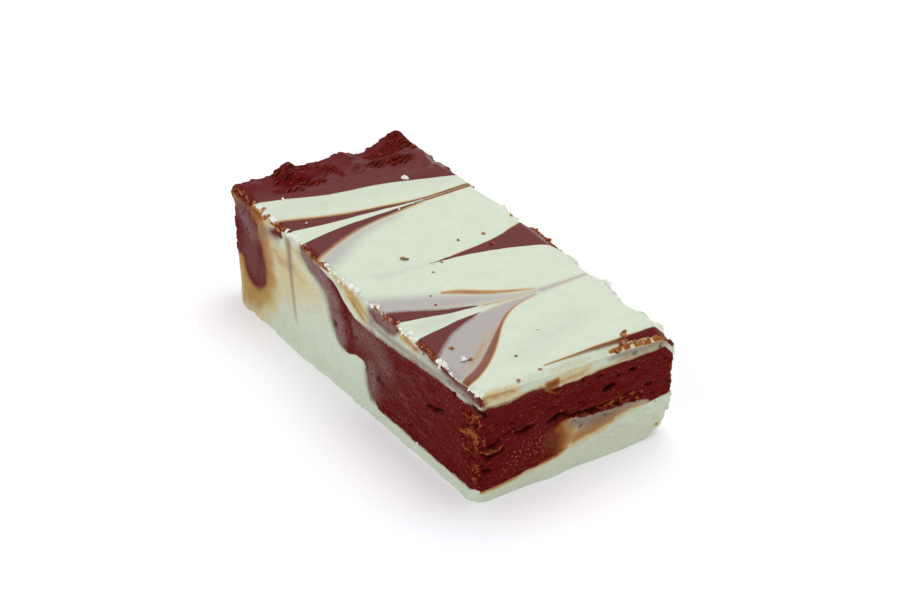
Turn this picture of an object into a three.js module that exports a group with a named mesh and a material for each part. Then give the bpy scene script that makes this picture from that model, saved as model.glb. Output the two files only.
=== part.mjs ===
// A cut bar of mint and chocolate swirl fudge: a pale mint base, a chocolate layer that swells and
// thins through the bar, and a thin mint top that tapers out where the chocolate breaks through to
// the surface at the far end and buckles up into a craggy crest.
//
// Frame, in millimetres: +X runs along the bar towards the near end, +Y across it towards the crumbly
// side, +Z up. The origin is on the surface that the bar rests on, under the middle of its box.
//
// The three layers are stacked on one common grid of places in plan. Each boundary between two layers
// is a single sheet of points that both of them use, so the layers meet face to face with no overlap.
import * as THREE from "three";

// ---- driving dimensions -------------------------------------------------------------------------
const LENGTH = 103; // along X, end face to end face
const WIDTH = 52.3; // along Y, the flared foot included
const TOP_HEIGHT = 27.8; // the flat poured top above the resting surface
const FOOT_FLARE = 1.2; // how far the foot is squashed out past the cut side at the near end
const FAR_FOOT_FLARE = 2.2; // and at the far end
const CREST_HEIGHT = 2.1; // the far end's crest above the flat top
const CORNER_RADIUS = 1.3; // upright corners at mid height

const BASE_THICKNESS_NEAR = 2.2; // mint base under the chocolate at the near end of the cut side
const BASE_THICKNESS_CRUMBLY = 10.2; // mint base along the crumbly side
const TOP_THICKNESS = 5.0; // mint top over the chocolate in the middle of the bar
const THIN_CHOCOLATE = 1.0; // the chocolate where it is drawn out thinnest

const NEAR_BEVEL_RUN = 4.0; // torn bevel of the near top edge at the crumbly side, along X
const NEAR_BEVEL_DROP = 3.2; // and down
const CRUMBLY_BEVEL_RUN = 4.6; // worn bevel of the crumbly side's top edge, along Y
const CRUMBLY_BEVEL_DROP = 4.0; // and down
const EDGE_ROUND = 0.9; // rounding of the far top edge
const CUT_EDGE_ROUND = 0.54; // and of the cut side's top edge, which the knife left sharper
const UNDER_ROUND = 5.0; // rounding of the bottom edge on the far end and the crumbly side
const FAR_UNDERCUT = 0.5; // how far the far end leans in under that

const STRIP_EDGE_MIDDLE = -34.4; // where the bare chocolate strip ends, half way across
const STRIP_SLANT = 0.32; // and how far its edge runs along X for each millimetre of Y

const FAR = -LENGTH / 2;
const NEAR = LENGTH / 2;
const CUT_SIDE = -WIDTH / 2 + FAR_FOOT_FLARE; // the knife-cut long side
const CRUMBLY_SIDE = WIDTH / 2; // the other long side
const MID_Y = (CUT_SIDE + CRUMBLY_SIDE) / 2;
const SPAN_Y = CRUMBLY_SIDE - CUT_SIDE;

// ---- grid ---------------------------------------------------------------------------------------
const STRIP_COLUMNS = 9; // across the bare chocolate strip at the far end
const MINT_COLUMNS = 32; // from the strip's edge to the near end
const ROWS = 21; // from the cut side to the crumbly side
const COLUMNS = STRIP_COLUMNS + MINT_COLUMNS;
const BASE_WALL_ROWS = 4;
const CHOCOLATE_WALL_ROWS = 6;
const TOP_WALL_ROWS = 2;

// ---- small helpers ------------------------------------------------------------------------------
const clamp01 = (t) => Math.min(1, Math.max(0, t));
const mix = (a, b, t) => a + (b - a) * t;

// 0 at from, 1 at to, with flat ends; from may be the larger of the two.
function ease(from, to, value) {
  const t = clamp01((value - from) / (to - from));
  return t * t * (3 - 2 * t);
}

// A soft hump of height 1 at centre, about two widths across.
function hump(value, centre, width) {
  const t = (value - centre) / width;
  return Math.exp(-t * t);
}

function latticeValue(i, j, seed) {
  const s = Math.sin(i * 127.1 + j * 311.7 + seed * 74.7) * 43758.5453;
  return 2 * (s - Math.floor(s)) - 1;
}

// Smooth noise between -1 and 1 with a cell of one unit.
function noise(u, v, seed) {
  const i = Math.floor(u);
  const j = Math.floor(v);
  const a = ease(0, 1, u - i);
  const b = ease(0, 1, v - j);
  const low = mix(latticeValue(i, j, seed), latticeValue(i + 1, j, seed), a);
  const high = mix(latticeValue(i, j + 1, seed), latticeValue(i + 1, j + 1, seed), a);
  return mix(low, high, b);
}

// How far across the bar a place is: 0 on the cut side, 1 on the crumbly side.
const across = (y) => clamp01((y - CUT_SIDE) / SPAN_Y);

// ---- layer boundaries ---------------------------------------------------------------------------

// The line on top where the mint top tapers out against the bare chocolate strip.
function stripEdge(y) {
  const fromMiddle = y - MID_Y;
  return STRIP_EDGE_MIDDLE + STRIP_SLANT * fromMiddle + 0.0015 * fromMiddle * fromMiddle + 1.5 * hump(y, -8, 8);
}

// Height of the poured top: flat, with a crest at the far end, torn and rounded edges.
function topHeight(x, y) {
  const inStrip = ease(0, 9, stripEdge(y) - x);
  const profile =
    0.95 * hump(y, -10.5, 2.7) +
    0.25 * hump(y, -20.5, 3.5) +
    0.3 * hump(y, 4.5, 1.6) -
    0.7 * hump(y, 10.5, 3.6) +
    0.75 * hump(y, 19.5, 3.2);
  const crest = CREST_HEIGHT * profile * ease(-42, -49, x);
  const wrinkles = 0.8 * inStrip * noise(x * 0.42 + y * 0.1, y * 0.24, 3) * ease(FAR, FAR + 2, x);
  const bevelRun = mix(0.8, NEAR_BEVEL_RUN, across(y));
  const bevel = mix(0.7, NEAR_BEVEL_DROP, across(y)) * ease(NEAR - bevelRun, NEAR + 0.8, x);
  const cutEdge = CUT_EDGE_ROUND * (1 + 0.5 * noise(x * 0.3, 0, 5)) * ease(CUT_SIDE + 1.3, CUT_SIDE - 0.3, y);
  const wornAway = CRUMBLY_BEVEL_DROP * (1 + 0.3 * noise(x * 0.3, 9, 6)) * mix(0.4, 1, ease(FAR, FAR + 8, x));
  const crumblyEdge = wornAway * ease(CRUMBLY_SIDE - CRUMBLY_BEVEL_RUN, CRUMBLY_SIDE + 0.6, y);
  const farEdge = EDGE_ROUND * ease(FAR + 1.4, FAR - 0.4, x);
  return TOP_HEIGHT + crest + wrinkles - bevel - cutEdge - crumblyEdge - farEdge;
}

// Height of the mint base under the chocolate. On the cut side it lies low under the near half, steps
// up round a chocolate tongue, stays high in the middle, and dips under a pocket at the far end.
function baseHeight(x, y) {
  const cut =
    BASE_THICKNESS_NEAR +
    0.8 * ease(44, 51, x) +
    0.9 * ease(14, 8, x) +
    7.5 * ease(7.8, 5.3, x) -
    1.6 * hump(x, -2, 3) +
    12 * ease(-5, -11, x) +
    1.5 * ease(-12, -22, x) -
    18.2 * ease(-36, -41.5, x) +
    6.2 * ease(-45, -50.5, x);
  const crumbly = BASE_THICKNESS_CRUMBLY + 1.2 * Math.sin(x / 11 + 1.6) - 0.8 * ease(-30, -50, x);
  const inward = ease(0, 1, across(y));
  return mix(cut, crumbly, inward) + 0.35 * noise(x / 7, y / 7, 11) * ease(0, 0.2, across(y));
}

// Height of the chocolate's own top under the mint top, or of the bar's top where it is bare.
function chocolateHeight(x, y) {
  const cut =
    20.2 +
    2.9 * ease(6, 38, x) +
    1.2 * ease(45, 51, x) +
    4.9 * ease(2, -9, x) +
    0.9 * ease(-9, -20, x);
  const crumbly = TOP_HEIGHT - TOP_THICKNESS + 0.8 * Math.sin(x / 9 + 1);
  const raw = mix(cut, crumbly, ease(0, 0.35, across(y)));
  const top = topHeight(x, y);
  const taper = ease(0, 7, x - stripEdge(y));
  const wanted = top - Math.max(top - raw, 1.2) * taper;
  return Math.min(top, Math.max(wanted, Math.min(top, baseHeight(x, y) + THIN_CHOCOLATE)));
}

// ---- plan ---------------------------------------------------------------------------------------

// Draws the square corner (a, b, both 0 to 1) in to a quarter circle.
const roundedCorner = (a, b) => [a * Math.sqrt(1 - (b * b) / 2), b * Math.sqrt(1 - (a * a) / 2)];

function cornerRadius(x, y, z) {
  const low = ease(9, 0, z);
  if (x < 0) return y < MID_Y ? mix(CORNER_RADIUS, 4.5, ease(10, 0, z)) : mix(2, 4.5, low);
  return y < MID_Y ? mix(0.9, 3.6, ease(4, 0.5, z)) : mix(CORNER_RADIUS, 5, low);
}

// Depth of a rounded bottom edge at height z.
function tuck(z, radius) {
  const t = clamp01(1 - z / radius);
  return radius * (1 - Math.sqrt(1 - t * t));
}

// Moves a point of the plain block to where it lies on the real bar's uneven sides.
function settled(x, y, z) {
  const radius = cornerRadius(x, y, z);
  const endX = x < 0 ? -FAR : NEAR;
  const endY = SPAN_Y / 2;
  const a = (Math.abs(x) - (endX - radius)) / radius;
  const b = (Math.abs(y - MID_Y) - (endY - radius)) / radius;
  let px = x;
  let py = y;
  if (a > 0 && b > 0) {
    const [ra, rb] = roundedCorner(Math.min(a, 1), Math.min(b, 1));
    px = Math.sign(x) * (endX - radius + radius * ra);
    py = MID_Y + Math.sign(y - MID_Y) * (endY - radius + radius * rb);
  }
  const nearCut = ease(9, 0, y - CUT_SIDE);
  const nearCrumbly = ease(14, 0, CRUMBLY_SIDE - y);
  const nearFar = ease(18, 0, x - FAR);
  const nearNear = ease(9, 0, NEAR - x);
  const foot = mix(FOOT_FLARE, FAR_FOOT_FLARE, ease(20, -20, x)) * hump(z, 0, 2.6);
  py -= nearCut * (foot + 0.25 * noise(x / 6, z / 5, 21));
  py -= nearCrumbly * (tuck(z, UNDER_ROUND) + 0.35 * (1 + noise(x / 4, z / 4, 22)));
  py -= nearCrumbly * 1.2 * hump(x, 36, 4) * ease(20, TOP_HEIGHT, z);
  px += nearFar * (tuck(z, UNDER_ROUND) + 0.5 * noise(y / 4, z / 4, 23) + FAR_UNDERCUT * ease(14, 2, z));
  px += nearNear * (0.35 * noise(y / 6, z / 2.2, 24) - 0.4 * ease(20, 4, z));
  return [px, py, z];
}

// Places from 0 to 1 that split the range into count parts, smaller where the density is higher.
function crowdedShares(count, density) {
  const steps = 400;
  const sums = [0];
  for (let i = 0; i < steps; i++) sums.push(sums[i] + density((i + 0.5) / steps));
  const shares = [];
  let i = 0;
  for (let k = 0; k <= count; k++) {
    const wanted = (sums[steps] * k) / count;
    while (i < steps - 1 && sums[i + 1] < wanted) i++;
    shares.push((i + (wanted - sums[i]) / (sums[i + 1] - sums[i])) / steps);
  }
  return shares;
}

// The grid is closest at the edges, and round the chocolate tongue on the cut side.
const stripShares = crowdedShares(STRIP_COLUMNS, (t) => 1 + hump(t, 0, 0.15));
const mintShares = crowdedShares(MINT_COLUMNS, (t) => 1 + 0.9 * hump(t, 0.42, 0.17) + 1.2 * ease(0.9, 1, t));
const rowShares = crowdedShares(ROWS, (t) => 1 + 1.2 * hump(t, 0, 0.05) + 1.2 * hump(t, 1, 0.12));

function placeInPlan(column, row) {
  const y = mix(CUT_SIDE, CRUMBLY_SIDE, rowShares[row]);
  const edge = stripEdge(y);
  const x =
    column <= STRIP_COLUMNS
      ? mix(FAR, edge, stripShares[column])
      : mix(edge, NEAR, mintShares[column - STRIP_COLUMNS]);
  return [x, y];
}

// ---- layers -------------------------------------------------------------------------------------

// One closed layer between two height functions, over the columns from firstColumn to the near end.
// Where its two sheets share a height all along the first column, they share the points as well.
function layerGeometry(lower, upper, wallRows, firstColumn) {
  const positions = [];
  const indices = [];
  const known = new Map();

  const pointAt = (column, row, level) => {
    const [x, y] = placeInPlan(column, row);
    const z = mix(lower(x, y), upper(x, y), level / wallRows);
    const place = settled(x, y, z).map(Math.fround);
    const key = place.join(" ");
    if (!known.has(key)) {
      known.set(key, positions.length / 3);
      positions.push(...place);
    }
    return known.get(key);
  };

  const addTriangle = (a, b, c) => {
    if (a !== b && b !== c && c !== a) indices.push(a, b, c);
  };

  // A quad with corners in turn, its diagonal always from the first corner to the third.
  const addQuad = (a, b, c, d) => {
    addTriangle(a, b, c);
    addTriangle(a, c, d);
  };

  for (let i = firstColumn; i < COLUMNS; i++) {
    for (let j = 0; j < ROWS; j++) {
      const corners = (level) => [
        pointAt(i, j, level),
        pointAt(i + 1, j, level),
        pointAt(i + 1, j + 1, level),
        pointAt(i, j + 1, level),
      ];
      addQuad(...corners(wallRows));
      const [a, b, c, d] = corners(0);
      addTriangle(a, c, b);
      addTriangle(a, d, c);
    }
  }

  // The rim in turn, seen from above against the clock: cut side, near end, crumbly side, far end.
  const rim = [];
  for (let i = firstColumn; i < COLUMNS; i++) rim.push([i, 0]);
  for (let j = 0; j < ROWS; j++) rim.push([COLUMNS, j]);
  for (let i = COLUMNS; i > firstColumn; i--) rim.push([i, ROWS]);
  for (let j = ROWS; j > 0; j--) rim.push([firstColumn, j]);
  for (let k = 0; k < rim.length; k++) {
    const [i, j] = rim[k];
    const [nextI, nextJ] = rim[(k + 1) % rim.length];
    for (let level = 0; level < wallRows; level++) {
      addQuad(
        pointAt(i, j, level),
        pointAt(nextI, nextJ, level),
        pointAt(nextI, nextJ, level + 1),
        pointAt(i, j, level + 1),
      );
    }
  }

  const geometry = new THREE.BufferGeometry();
  geometry.setAttribute("position", new THREE.Float32BufferAttribute(positions, 3));
  geometry.setIndex(indices);
  geometry.computeVertexNormals();
  return geometry;
}

const restingSurface = () => 0;

function mintBase() {
  const geometry = layerGeometry(restingSurface, baseHeight, BASE_WALL_ROWS, 0);
  const material = new THREE.MeshStandardMaterial({ color: "#c6d3bf", roughness: 0.55, metalness: 0 });
  const mesh = new THREE.Mesh(geometry, material);
  mesh.name = "mint_base";
  return mesh;
}

function chocolateLayer() {
  const geometry = layerGeometry(baseHeight, chocolateHeight, CHOCOLATE_WALL_ROWS, 0);
  const material = new THREE.MeshStandardMaterial({ color: "#57211d", roughness: 0.6, metalness: 0 });
  const mesh = new THREE.Mesh(geometry, material);
  mesh.name = "chocolate_layer";
  return mesh;
}

function mintTop() {
  const geometry = layerGeometry(chocolateHeight, topHeight, TOP_WALL_ROWS, STRIP_COLUMNS);
  const material = new THREE.MeshStandardMaterial({ color: "#d9e5d2", roughness: 0.4, metalness: 0 });
  const mesh = new THREE.Mesh(geometry, material);
  mesh.name = "mint_top";
  return mesh;
}

// Puts the origin under the middle of the finished bar's box.
function centred(group) {
  const box = new THREE.Box3().setFromObject(group, true);
  const middle = box.getCenter(new THREE.Vector3());
  group.position.set(-middle.x, -middle.y, -box.min.z);
  return group;
}

const fudgeBar = new THREE.Group();
fudgeBar.add(mintBase(), chocolateLayer(), mintTop());

export default centred(fudgeBar);
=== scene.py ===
# %% [markdown]
# # A bar of mint and chocolate swirl fudge
# Fudge like this is poured into a tray in layers: pale mint, then chocolate, then mint again. While it
# is soft, a skewer is dragged across it, and it pulls the chocolate into feathers. Then it is cut. A
# plain block with three colours would miss all that, so this lesson builds three dense pieces, one for
# each layer, and moves their points with small functions: torn edges, air holes, cracks and crags. Two
# more pieces are the crumbs, one of mint and one of chocolate.

# %% Load the frame
import math

import bpy
import numpy as np
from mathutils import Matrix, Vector


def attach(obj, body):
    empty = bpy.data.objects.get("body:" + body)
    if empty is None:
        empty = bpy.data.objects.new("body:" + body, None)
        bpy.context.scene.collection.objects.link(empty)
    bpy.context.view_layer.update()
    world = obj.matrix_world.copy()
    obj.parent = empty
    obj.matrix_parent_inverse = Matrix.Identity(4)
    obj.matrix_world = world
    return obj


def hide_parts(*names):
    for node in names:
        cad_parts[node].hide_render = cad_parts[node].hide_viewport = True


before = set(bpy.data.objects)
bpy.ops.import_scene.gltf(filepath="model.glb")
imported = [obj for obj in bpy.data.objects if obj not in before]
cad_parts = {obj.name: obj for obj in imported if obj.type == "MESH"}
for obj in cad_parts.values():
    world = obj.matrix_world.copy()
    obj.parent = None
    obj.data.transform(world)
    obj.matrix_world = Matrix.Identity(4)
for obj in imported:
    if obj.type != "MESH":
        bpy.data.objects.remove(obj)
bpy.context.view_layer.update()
MM = 0.001

# %% [markdown]
# ## Camera
# The bar is seen from above its near corner, from about two thirds of a metre away, through a long
# lens. A long lens keeps the bar's edges nearly parallel, as in a packshot. A camera looks along its
# own -Z, so its rotation is worked out from the line between two places.

# %% Set the camera
CAMERA_PLACE = Vector((442.2, -289.1, 351.3)) * MM
CAMERA_TARGET = Vector((-19.28, 14.98, 0.0)) * MM
LENS = 112.0  # mm, on a sensor 36 mm wide

camera_data = bpy.data.cameras.new("camera")
camera_data.lens = LENS
camera_data.sensor_width = 36.0
camera_data.clip_start = 0.01
camera = bpy.data.objects.new("camera", camera_data)
bpy.context.scene.collection.objects.link(camera)
camera.location = CAMERA_PLACE
camera.rotation_euler = (CAMERA_TARGET - CAMERA_PLACE).to_track_quat("-Z", "Y").to_euler()
bpy.context.scene.camera = camera
print("camera distance in mm:", round((CAMERA_TARGET - CAMERA_PLACE).length / MM))

# %% [markdown]
# ## Floor and light
# The floor is a plain white sheet. Soft light comes from large area lamps and a white world: the
# bigger the lamp, the softer the shadow. The main lamp hangs above and behind, so the poured top is the
# brightest face and the two cut faces fall off a little. The Standard view keeps the colours as they
# are mixed, where Blender's usual view would turn the chocolate greyer and the white dull.

# %% Lay the floor and hang the lamps
FLOOR_SIZE = 6.0
GLOW = 0.11


def deselect_all():
    bpy.ops.object.select_all(action="DESELECT")


def new_material(name):
    """A material with its nodes on, and its shader."""
    material = bpy.data.materials.new(name)
    material.use_nodes = True
    return material, material.node_tree.nodes["Principled BSDF"]


def floor_sheet():
    deselect_all()
    bpy.ops.mesh.primitive_plane_add(size=FLOOR_SIZE)
    floor = bpy.context.object
    floor.name = "floor"
    material, shader = new_material("white_sheet")
    shader.inputs["Base Color"].default_value = (0.97, 0.96, 0.99, 1.0)
    shader.inputs["Roughness"].default_value = 0.9
    shader.inputs["Specular IOR Level"].default_value = 0.1
    shader.inputs["Emission Color"].default_value = (0.93, 0.9, 1.0, 1.0)
    shader.inputs["Emission Strength"].default_value = GLOW
    floor.data.materials.append(material)
    return floor


def area_lamp(name, place, target, size, power):
    lamp = bpy.data.lights.new(name, "AREA")
    lamp.shape = "DISK"
    lamp.size = size
    lamp.energy = power
    holder = bpy.data.objects.new(name, lamp)
    bpy.context.scene.collection.objects.link(holder)
    holder.location = place
    holder.rotation_euler = (Vector(target) - Vector(place)).to_track_quat("-Z", "Y").to_euler()
    return holder


def white_world(strength):
    world = bpy.data.worlds.new("white_room")
    world.use_nodes = True
    background = world.node_tree.nodes["Background"]
    background.inputs["Color"].default_value = (1.0, 1.0, 1.0, 1.0)
    background.inputs["Strength"].default_value = strength
    bpy.context.scene.world = world


bpy.context.scene.view_settings.view_transform = "Standard"
floor_sheet()
area_lamp("overhead", (-0.12, 0.3, 0.9), (0, 0, 0), 0.9, 4.3)
area_lamp("behind", (-0.75, 0.5, 0.6), (0, 0, 0), 1.0, 0.5)
area_lamp("front_left", (0.1, -0.9, 0.5), (0, 0, 0), 0.9, 1.7)
white_world(0.6)

# %% [markdown]
# ## Small helpers
# Every uneven thing on the bar is made from three simple functions. `ease` is a soft step, `hump` is a
# soft bump, and `noise` is random but smooth. They work on whole arrays, so one call moves a hundred
# thousand points. `rough` adds finer and finer noise, as torn fudge has.

# %% Soft steps, bumps and noise


def ease(start, end, value):
    t = np.clip((value - start) / (end - start), 0.0, 1.0)
    return t * t * (3.0 - 2.0 * t)


def mix(a, b, t):
    return a + (b - a) * t


def hump(value, centre, width):
    return np.exp(-(((value - centre) / width) ** 2))


def lattice_value(i, j, seed):
    s = np.sin(i * 127.1 + j * 311.7 + seed * 74.7) * 43758.5453
    return 2.0 * (s - np.floor(s)) - 1.0


def noise(u, v, seed):
    u, v = np.broadcast_arrays(np.asarray(u, float), np.asarray(v, float))
    i, j = np.floor(u), np.floor(v)
    a, b = ease(0.0, 1.0, u - i), ease(0.0, 1.0, v - j)
    low = mix(lattice_value(i, j, seed), lattice_value(i + 1, j, seed), a)
    high = mix(lattice_value(i, j + 1, seed), lattice_value(i + 1, j + 1, seed), a)
    return mix(low, high, b)


def rough(u, v, seed, octaves=3):
    total = np.zeros(np.broadcast(u, v).shape)
    for k in range(octaves):
        turned_u = u * 2.0**k + v * 0.6
        turned_v = v * 2.0**k - u * 0.4
        total += noise(turned_u, turned_v, seed + k) * 0.55**k
    return total


print("noise at a point:", round(float(noise(1.3, 2.7, 5)), 3))

# %% [markdown]
# ## The bar's sizes
# These are the solids' own sizes, in millimetres: +X runs towards the near end, +Y from the knife-cut
# side to the crumbly side. The layers swell and thin through the bar, so each boundary is a height
# that depends on the place.

# %% Sizes in millimetres
LENGTH = 103.0
WIDTH = 52.3
TOP_HEIGHT = 27.8
FOOT_FLARE = 1.2
FAR_FOOT_FLARE = 2.2
CREST_HEIGHT = 2.1
CORNER_RADIUS = 1.3
BASE_THICKNESS_NEAR = 2.2
BASE_THICKNESS_CRUMBLY = 10.2
TOP_THICKNESS = 5.0
THIN_CHOCOLATE = 1.0
NEAR_BEVEL_RUN = 4.0
NEAR_BEVEL_DROP = 3.2
CRUMBLY_BEVEL_RUN = 4.6
CRUMBLY_BEVEL_DROP = 4.0
EDGE_ROUND = 0.9
CUT_EDGE_ROUND = 0.54
UNDER_ROUND = 5.0
FAR_UNDERCUT = 0.5
STRIP_EDGE_MIDDLE = -34.4
STRIP_SLANT = 0.32

FAR, NEAR = -LENGTH / 2, LENGTH / 2
CUT_SIDE = -WIDTH / 2 + FAR_FOOT_FLARE
CRUMBLY_SIDE = WIDTH / 2
MID_Y = (CUT_SIDE + CRUMBLY_SIDE) / 2
SPAN_Y = CRUMBLY_SIDE - CUT_SIDE
BLOCK_MIDDLE = Vector((-0.045, -0.098))  # middle of the finished bar's box


def across(y):
    return np.clip((y - CUT_SIDE) / SPAN_Y, 0.0, 1.0)


def strip_edge(y):
    from_middle = y - MID_Y
    bulge = 1.5 * hump(y, -8, 8)
    return STRIP_EDGE_MIDDLE + STRIP_SLANT * from_middle + 0.0015 * from_middle**2 + bulge


def base_height(x, y):
    cut = (
        BASE_THICKNESS_NEAR
        + 0.8 * ease(44, 51, x)
        + 0.9 * ease(14, 8, x)
        + 7.5 * ease(7.8, 5.3, x)
        - 1.6 * hump(x, -2, 3)
        + 12 * ease(-5, -11, x)
        + 1.5 * ease(-12, -22, x)
        - 18.2 * ease(-36, -41.5, x)
        + 6.2 * ease(-45, -50.5, x)
    )
    crumbly = BASE_THICKNESS_CRUMBLY + 1.2 * np.sin(x / 11 + 1.6) - 0.8 * ease(-30, -50, x)
    inward = ease(0, 1, across(y))
    return mix(cut, crumbly, inward) + 0.35 * noise(x / 7, y / 7, 11) * ease(0, 0.2, across(y))


def chocolate_height(x, y, top):
    cut = (
        20.2
        + 2.9 * ease(6, 38, x)
        + 1.2 * ease(45, 51, x)
        + 4.9 * ease(2, -9, x)
        + 0.9 * ease(-9, -20, x)
    )
    crumbly = TOP_HEIGHT - TOP_THICKNESS + 0.8 * np.sin(x / 9 + 1)
    raw = mix(cut, crumbly, ease(0, 0.35, across(y)))
    taper = ease(0, 7, x - strip_edge(y))
    wanted = top - np.maximum(top - raw, 1.2) * taper
    thinnest = np.minimum(top, base_height(x, y) + THIN_CHOCOLATE)
    return np.minimum(top, np.maximum(wanted, thinnest))


# %% [markdown]
# ## Strokes
# Marbling, stains and crags all lie along lines, as if drawn with a brush. A stroke is a short list of
# places with a half width at each, in millimetres. `stroke` gives how far inside the line a point is:
# above zero inside, below zero outside. The places are on the faces' own sheets: x and y on top, x and
# z on the cut side, y and z on the near end, from the middle of the top's flat.

# %% Draw a stroke
PATTERN_MIDDLE_X, PATTERN_MIDDLE_Y = 0.5, -0.4
CURVE_STEPS = 4
FAR_OUTSIDE = -1e3


def curve_through(places):
    """A smooth line through the places, by a Catmull-Rom curve."""
    p = np.array(places, float)
    p = np.vstack([2 * p[0] - p[1], p, 2 * p[-1] - p[-2]])
    line = []
    for k in range(1, len(p) - 2):
        before, start, end, after = p[k - 1], p[k], p[k + 1], p[k + 2]
        for t in np.arange(CURVE_STEPS) / CURVE_STEPS:
            line.append(
                0.5
                * (
                    2 * start
                    + (end - before) * t
                    + (2 * before - 5 * start + 4 * end - after) * t**2
                    + (3 * start - before - 3 * end + after) * t**3
                )
            )
    line.append(p[-2])
    return np.array(line)


def stroke(a, b, places):
    line = curve_through(places)
    best = np.full(np.shape(a), FAR_OUTSIDE)
    for (a0, b0, w0), (a1, b1, w1) in zip(line, line[1:]):
        da, db = a1 - a0, b1 - b0
        t = np.clip(((a - a0) * da + (b - b0) * db) / (da * da + db * db), 0.0, 1.0)
        best = np.maximum(best, mix(w0, w1, t) - np.hypot(a - a0 - t * da, b - b0 - t * db))
    return best


def soft_stroke(a, b, places, softness):
    return ease(-softness, softness, stroke(a, b, places))


def deepest(a, b, strokes):
    """How far inside any of the strokes a point lies, in mm."""
    inside = np.full(np.shape(a), FAR_OUTSIDE)
    for places in strokes:
        inside = np.maximum(inside, stroke(a, b, places))
    return inside


def widest(a, b, strokes, softness):
    """How far inside any of the strokes a point lies, from 0 to 1."""
    amount = np.zeros(np.shape(a))
    for places in strokes:
        amount = np.maximum(amount, soft_stroke(a, b, places, softness))
    return amount


def strongest(a, b, marks):
    """The strongest of several marks, each with its own softness and strength."""
    total = np.zeros(np.shape(a))
    for places, softness, strength in marks:
        total = np.maximum(total, strength * soft_stroke(a, b, places, softness))
    return total


margin = stroke(np.array([0.0]), np.array([1.0]), [(0, 0, 2), (0, 2, 2)])
print("a stroke's margin at its middle:", float(margin[0]))

# %% [markdown]
# ## The marbling on top
# The skewer was pulled across the bar twice, so two fans of dark streaks start at the crumbly side and
# spread towards the cut side. A third pull, the other way, left one wedge. Streaks are dark with crisp
# edges. Stains are soft and run from cream to orange brown, where cocoa crept into the mint. Haze is the
# grey mauve of the two stirred together.

# %% Streaks, stains and haze on top
FAN_ONE_LEFT = [
    (-22.8, 27, 0.3), (-22.8, 18, 0.22), (-22.9, 10, 0.24), (-23.3, 5, 0.36), (-24.0, 1, 0.55),
    (-25.0, -5, 0.75), (-25.9, -10.4, 1.15), (-27.1, -15.4, 1.7), (-28.3, -19.6, 2.1), (-29.8, -25, 2.7),
]
FAN_ONE_RIGHT = [
    (-21.9, 27, 0.26), (-21.9, 18, 0.2), (-22.0, 12, 0.22), (-21.9, 6, 0.4), (-21.7, 1, 0.65),
    (-21.4, -5, 1.0), (-20.8, -10.4, 1.5), (-19.8, -15.4, 2.1), (-18.6, -19.6, 2.7), (-17.0, -25, 3.4),
]
WEDGE = [
    (4.0, 28, 7.9), (3.6, 23.6, 5.6), (3.4, 20, 4.4), (3.25, 15.4, 2.9), (2.75, 9.6, 1.6),
    (2.3, 4.6, 0.8), (2.0, -0.4, 0.35), (1.75, -4.3, 0.12),
]
FAN_TWO_LEFT = [
    (22.2, -4.0, 0.05), (21.4, -7, 0.42), (20.1, -11.8, 0.95), (18.4, -16.1, 1.45), (16.9, -20, 2.0),
    (15.1, -25, 2.5),
]
FAN_TWO_RIGHT = [
    (24.2, -5.5, 0.05), (24.7, -8.5, 0.5), (25.4, -12, 1.0), (26.6, -16.1, 1.6), (28.3, -20.4, 2.7),
    (30.6, -25, 4.0),
]
NEAR_STREAK = [
    (49.4, 26, 0.95), (49.3, 22, 0.8), (49.2, 15.4, 0.6), (49.1, 10, 0.42), (49.0, 4.6, 0.26),
    (48.9, 0, 0.16), (48.8, -4, 0.1), (48.6, -7, 0.03),
]
TOP_STREAKS = [FAN_ONE_LEFT, FAN_ONE_RIGHT, WEDGE, FAN_TWO_LEFT, FAN_TWO_RIGHT, NEAR_STREAK]
SOFT_SIDES = [
    [(19.9, -8, 0.6), (18.3, -12, 0.9), (16.4, -16, 1.1), (14.6, -20, 1.2), (12.6, -25, 1.2)],
    [(25.4, -8, 0.5), (26.9, -12, 0.8), (28.8, -16, 0.9), (31.6, -20, 1.0), (35.0, -25, 1.0)],
    [(-20.9, 4, 0.2), (-20.1, -5, 0.4), (-19.0, -10.4, 0.5), (-17.3, -15.4, 0.6), (-15.4, -20, 0.6),
     (-13.0, -25, 0.6)],
    [(-22.3, 27, 0.7), (-22.3, 14, 0.6), (-22.4, 8, 0.3)],
    [(49.2, 14, 0.3), (49.0, 4, 0.3), (48.7, -6, 0.3)],
    [(-28.6, -6, 0.3), (-26.6, 0, 0.3), (-23.6, 6, 0.3)],
]

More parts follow.
